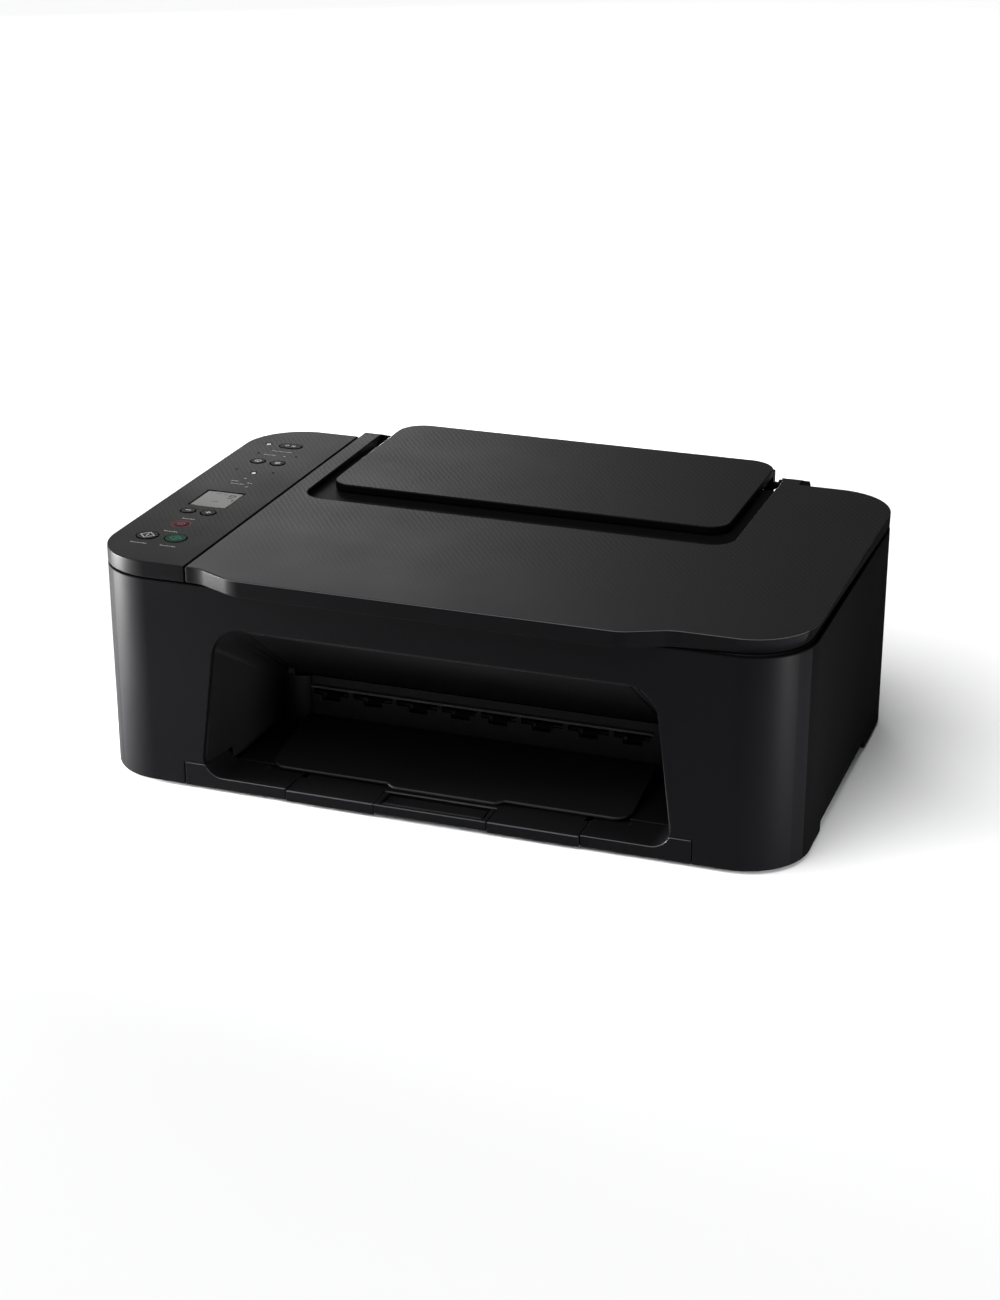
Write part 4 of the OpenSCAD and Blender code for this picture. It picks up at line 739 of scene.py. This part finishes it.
bpy.ops.object.shade_smooth_by_angle(angle=math.radians(40))
bearing_post.data.materials.append(bay_abs)
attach(bearing_post, "chassis")

# The tray, its extension and the front frame shut in one plane, so their fronts look alike: the
# case's satin black, with a pale painted highlight along the bevel at the top.
front_y, front_high_z, front_low_z = -0.12, 0.02, 0.004


def on_low_front(centre, normal):
    """The upright front faces."""
    return centre.y < front_y and centre.z < front_high_z and normal.y < -0.5


def on_low_rim(centre, normal):
    """The bevel along the top of those faces, which carries a painted highlight."""
    ahead = centre.y < front_y and front_low_z < centre.z < front_high_z
    return ahead and 0.35 < normal.z < 0.93 and normal.y < -0.3


tray_moulding = softened("output_tray", "output_tray_moulding", 0.6, tray_abs,
                         body="output_tray")
extension_moulding = softened("tray_extension", "extension_moulding", 0.5, tray_abs,
                              body="tray_extension")
for moulding in (tray_moulding, extension_moulding, frame_moulding):
    second_finish(moulding, case_abs, on_low_front)
    second_finish(moulding, highlight_abs, on_low_rim)
softened("paper_stop", "paper_stop_moulding", 0.3, tray_abs, body="paper_stop")


# ---------------------------------------------------------------- rollers
# Ground steel shafts with moulded rubber sleeves, with a natural acetal gear on the left end of the
# feed and eject rollers. The pinch rollers are acetal and the spur wheels thin stainless steel.
axles = {joint["name"]: joint["pos_m"] for joint in frame["joints"] if joint["type"] == "hinge"}
gear_end = -0.191
no_gear = -0.3


def roller_finish(name, spin, shaft, gear_x=gear_end):
    """Rubber, but steel inside the shaft's radius, in millimetres, round the axle of a joint, and
    acetal where the gear is, to the left of gear_x."""
    axle_y, axle_z = axles[spin][1:]
    material = moulded_plastic(name, "#070708", 0.8, grain=0.5, relief=0.03, sheen=0.1)
    tree = material.node_tree
    surface = tree.nodes["Principled BSDF"]
    place = add(tree, "ShaderNodeTexCoord")
    parts = add(tree, "ShaderNodeSeparateXYZ", None, {0: place.outputs["Object"]})
    out_y = add(tree, "ShaderNodeMath", {"operation": "SUBTRACT", 1: axle_y}, {0: parts.outputs[1]})
    out_z = add(tree, "ShaderNodeMath", {"operation": "SUBTRACT", 1: axle_z}, {0: parts.outputs[2]})
    square_y = add(tree, "ShaderNodeMath", {"operation": "MULTIPLY"},
                   {0: out_y.outputs[0], 1: out_y.outputs[0]})
    square_z = add(tree, "ShaderNodeMath", {"operation": "MULTIPLY_ADD"},
                   {0: out_z.outputs[0], 1: out_z.outputs[0], 2: square_y.outputs[0]})
    bare = add(tree, "ShaderNodeMath", {"operation": "LESS_THAN", 1: (shaft / 1000) ** 2},
               {0: square_z.outputs[0]})
    gear = add(tree, "ShaderNodeMath", {"operation": "LESS_THAN", 1: gear_x}, {0: parts.outputs[0]})
    rubber = surface.inputs["Base Color"].links[0].from_socket
    with_steel = add(tree, "ShaderNodeMix", {"data_type": "RGBA", 7: linear("#8e9096")},
                     {0: bare.outputs[0], 6: rubber})
    with_gear = add(tree, "ShaderNodeMix", {"data_type": "RGBA", 7: linear("#cfc9b8")},
                    {0: gear.outputs[0], 6: with_steel.outputs[2]})
    tree.links.new(with_gear.outputs[2], surface.inputs["Base Color"])
    metal = add(tree, "ShaderNodeMath", {"operation": "SUBTRACT", "use_clamp": True},
                {0: bare.outputs[0], 1: gear.outputs[0]})
    tree.links.new(metal.outputs[0], surface.inputs["Metallic"])
    return material


def finish_nodes(material, *nodes):
    """Construction parts that keep their own shape, in a finish of their own."""
    for node in nodes:
        slots = frame["nodes"][node].data.materials
        if not slots:
            slots.append(material)
        for i in range(len(slots)):
            slots[i] = material


finish_nodes(roller_finish("feed_roller_rubber_on_steel", "feed_roller_spin", 5.0), "feed_roller")
finish_nodes(roller_finish("eject_roller_rubber_on_steel", "eject_roller_spin", 3.4), "eject_roller")
finish_nodes(roller_finish("pickup_roller_rubber_on_steel", "pickup_roller_spin", 6.5, no_gear),
             "pickup_roller")
# Acetal looks pale and waxy, the thin wheels look dark, and the turned brass catches the light.
acetal = moulded_plastic("natural_acetal", "#cfc9b8", 0.45, grain=0.5, relief=0.01, sheen=0.4)
grey_acetal = moulded_plastic("grey_acetal", "#5a5c60", 0.4, grain=0.5, relief=0.01, sheen=0.4)
finish_nodes(acetal, "idler_gear", "tension_pulley")
finish_nodes(grey_acetal, "pinch_rollers")
finish_nodes(worked_metal("stainless_spur_steel", "#1c1c1e", 0.6, line=0.4), "spur_wheels")
turned_brass = worked_metal("machined_brass", "#c0a860", 0.3, along=(3, 0.3, 0.3))
finish_nodes(turned_brass, "motor_pinion", "drive_pulley")


# ---------------------------------------------------------------- chassis and paper path
# A pressed and zinc-coated steel frame carries the rail, the motors and the rollers' ends. The
# guides under and over the paper are glass-filled black ABS, duller than the case.
zinc_sheet = worked_metal("galvanised_sheet_steel", "#9ea2a8", 0.38, along=(0.15, 1, 1), spangle=6.0)
finish_nodes(zinc_sheet, "main_frame")
can_steel = worked_metal("motor_can_steel", "#8c8e93", 0.32, along=(1, 0.2, 1))
finish_nodes(can_steel, "carriage_motor", "feed_motor")
filled_abs = moulded_plastic("glass_filled_abs", "#19191b", 0.6, grain=0.7, relief=0.04, sheen=0.3)
finish_nodes(filled_abs, "feed_guide", "platen", "pinch_holder")
belt_rubber = moulded_plastic("ribbed_belt_rubber", "#131313", 0.8, grain=0.9, relief=0.05, sheen=0.3)
finish_nodes(belt_rubber, "timing_belt")
softened("maintenance_unit", "maintenance_station", 0.4, inner_abs)


# ---------------------------------------------------------------- encoder strip
# Clear polyester film along the carriage's rail, ruled with dark lines that the carriage's sensor
# counts. The lines are drawn 7.54 mm apart, far coarser than real ones, so that they show.
rule_gap = 7.54
film = moulded_plastic("ruled_polyester_film", "#aab0b4", 0.25, grain=0.6, relief=0.002, sheen=0.5)
tree = film.node_tree
film_surface = tree.nodes["Principled BSDF"]
film_place = add(tree, "ShaderNodeTexCoord")
rules = add(tree, "ShaderNodeTexWave", {"Scale": math.pi / 10 * 1000 / rule_gap, "bands_direction": "X"},
            {"Vector": film_place.outputs["Object"]})
ruled = add(tree, "ShaderNodeMix", {"data_type": "RGBA", "blend_type": "MULTIPLY", 0: 0.6},
            {6: film_surface.inputs["Base Color"].links[0].from_socket, 7: rules.outputs["Color"]})
tree.links.new(ruled.outputs[2], film_surface.inputs["Base Color"])
finish_nodes(film, "encoder_strip")


# ---------------------------------------------------------------- carriage and cartridges
# The ABS carriage on its rail, two dark cartridges in it and the two latches over them. The
# cartridges look greyer and a little waxy, and the latches are the palest of the three.
carriage_abs = moulded_plastic("carriage_black_abs", "#1c1c1e", 0.5, sheen=0.3)
softened("carriage", "carriage_moulding", 0.4, carriage_abs, body="carriage")
cartridge_pp = moulded_plastic("cartridge_polypropylene", "#2c2e31", 0.5, grain=0.6, relief=0.02, sheen=0.35)
softened("cartridge_black", "black_cartridge", 0.8, cartridge_pp, body="carriage")
softened("cartridge_color", "colour_cartridge", 0.8, cartridge_pp, body="carriage")
latch_abs = moulded_plastic("latch_grey_abs", "#3a3b3e", 0.45, sheen=0.3)
softened("lock_left", "left_latch", 0.4, latch_abs, body="lock_left")
softened("lock_right", "right_latch", 0.4, latch_abs, body="lock_right")


# ---------------------------------------------------------------- scanner
# The black scanner box under the cover, with its pane of float glass and the sensor bar that
# travels under it. The glass is faintly green, with a haze where it was wiped.
wipe_size = 111.1
softened("scanner_case", "scanner_housing", 0.6, inner_abs)
glass = bpy.data.materials.new("float_glass")
glass.use_nodes = True
tree = glass.node_tree
pane = tree.nodes["Principled BSDF"]
pane.inputs["Base Color"].default_value = linear("#e4efec")
pane.inputs["Transmission Weight"].default_value = 1.0
pane.inputs["IOR"].default_value = 1.5
glass_place = add(tree, "ShaderNodeTexCoord")
wipes = add(tree, "ShaderNodeTexNoise", {"Scale": 1000.0 / wipe_size, "Detail": 2.0},
            {"Vector": glass_place.outputs["Object"]})
haze = add(tree, "ShaderNodeMapRange", {"To Min": 0.0, "To Max": 0.06}, {"Value": wipes.outputs["Fac"]})
tree.links.new(haze.outputs[0], pane.inputs["Roughness"])
finish_nodes(glass, "platen_glass")
softened("scan_bar", "sensor_bar", 0.4, black_and_shade_abs, body="scan_bar")


# ---------------------------------------------------------------- electronics
# The power supply in its own plastic box with its glossier two-pin inlet, and the main board under
# green solder resist with its plated port.
softened("power_supply", "power_supply_box", 0.8, inner_abs)
inlet_pbt = moulded_plastic("inlet_black_polyester", "#101011", 0.4, sheen=0.4)
softened("power_inlet", "power_inlet_housing", 0.3, inlet_pbt)
finish_nodes(worked_metal("plated_port_steel", "#b4b6ba", 0.3, along=(1, 0.3, 1)), "usb_port")
board = moulded_plastic("green_solder_resist", "#1d4a30", 0.35, grain=0.8, relief=0.02, sheen=0.5)
finish_nodes(board, "logic_board")
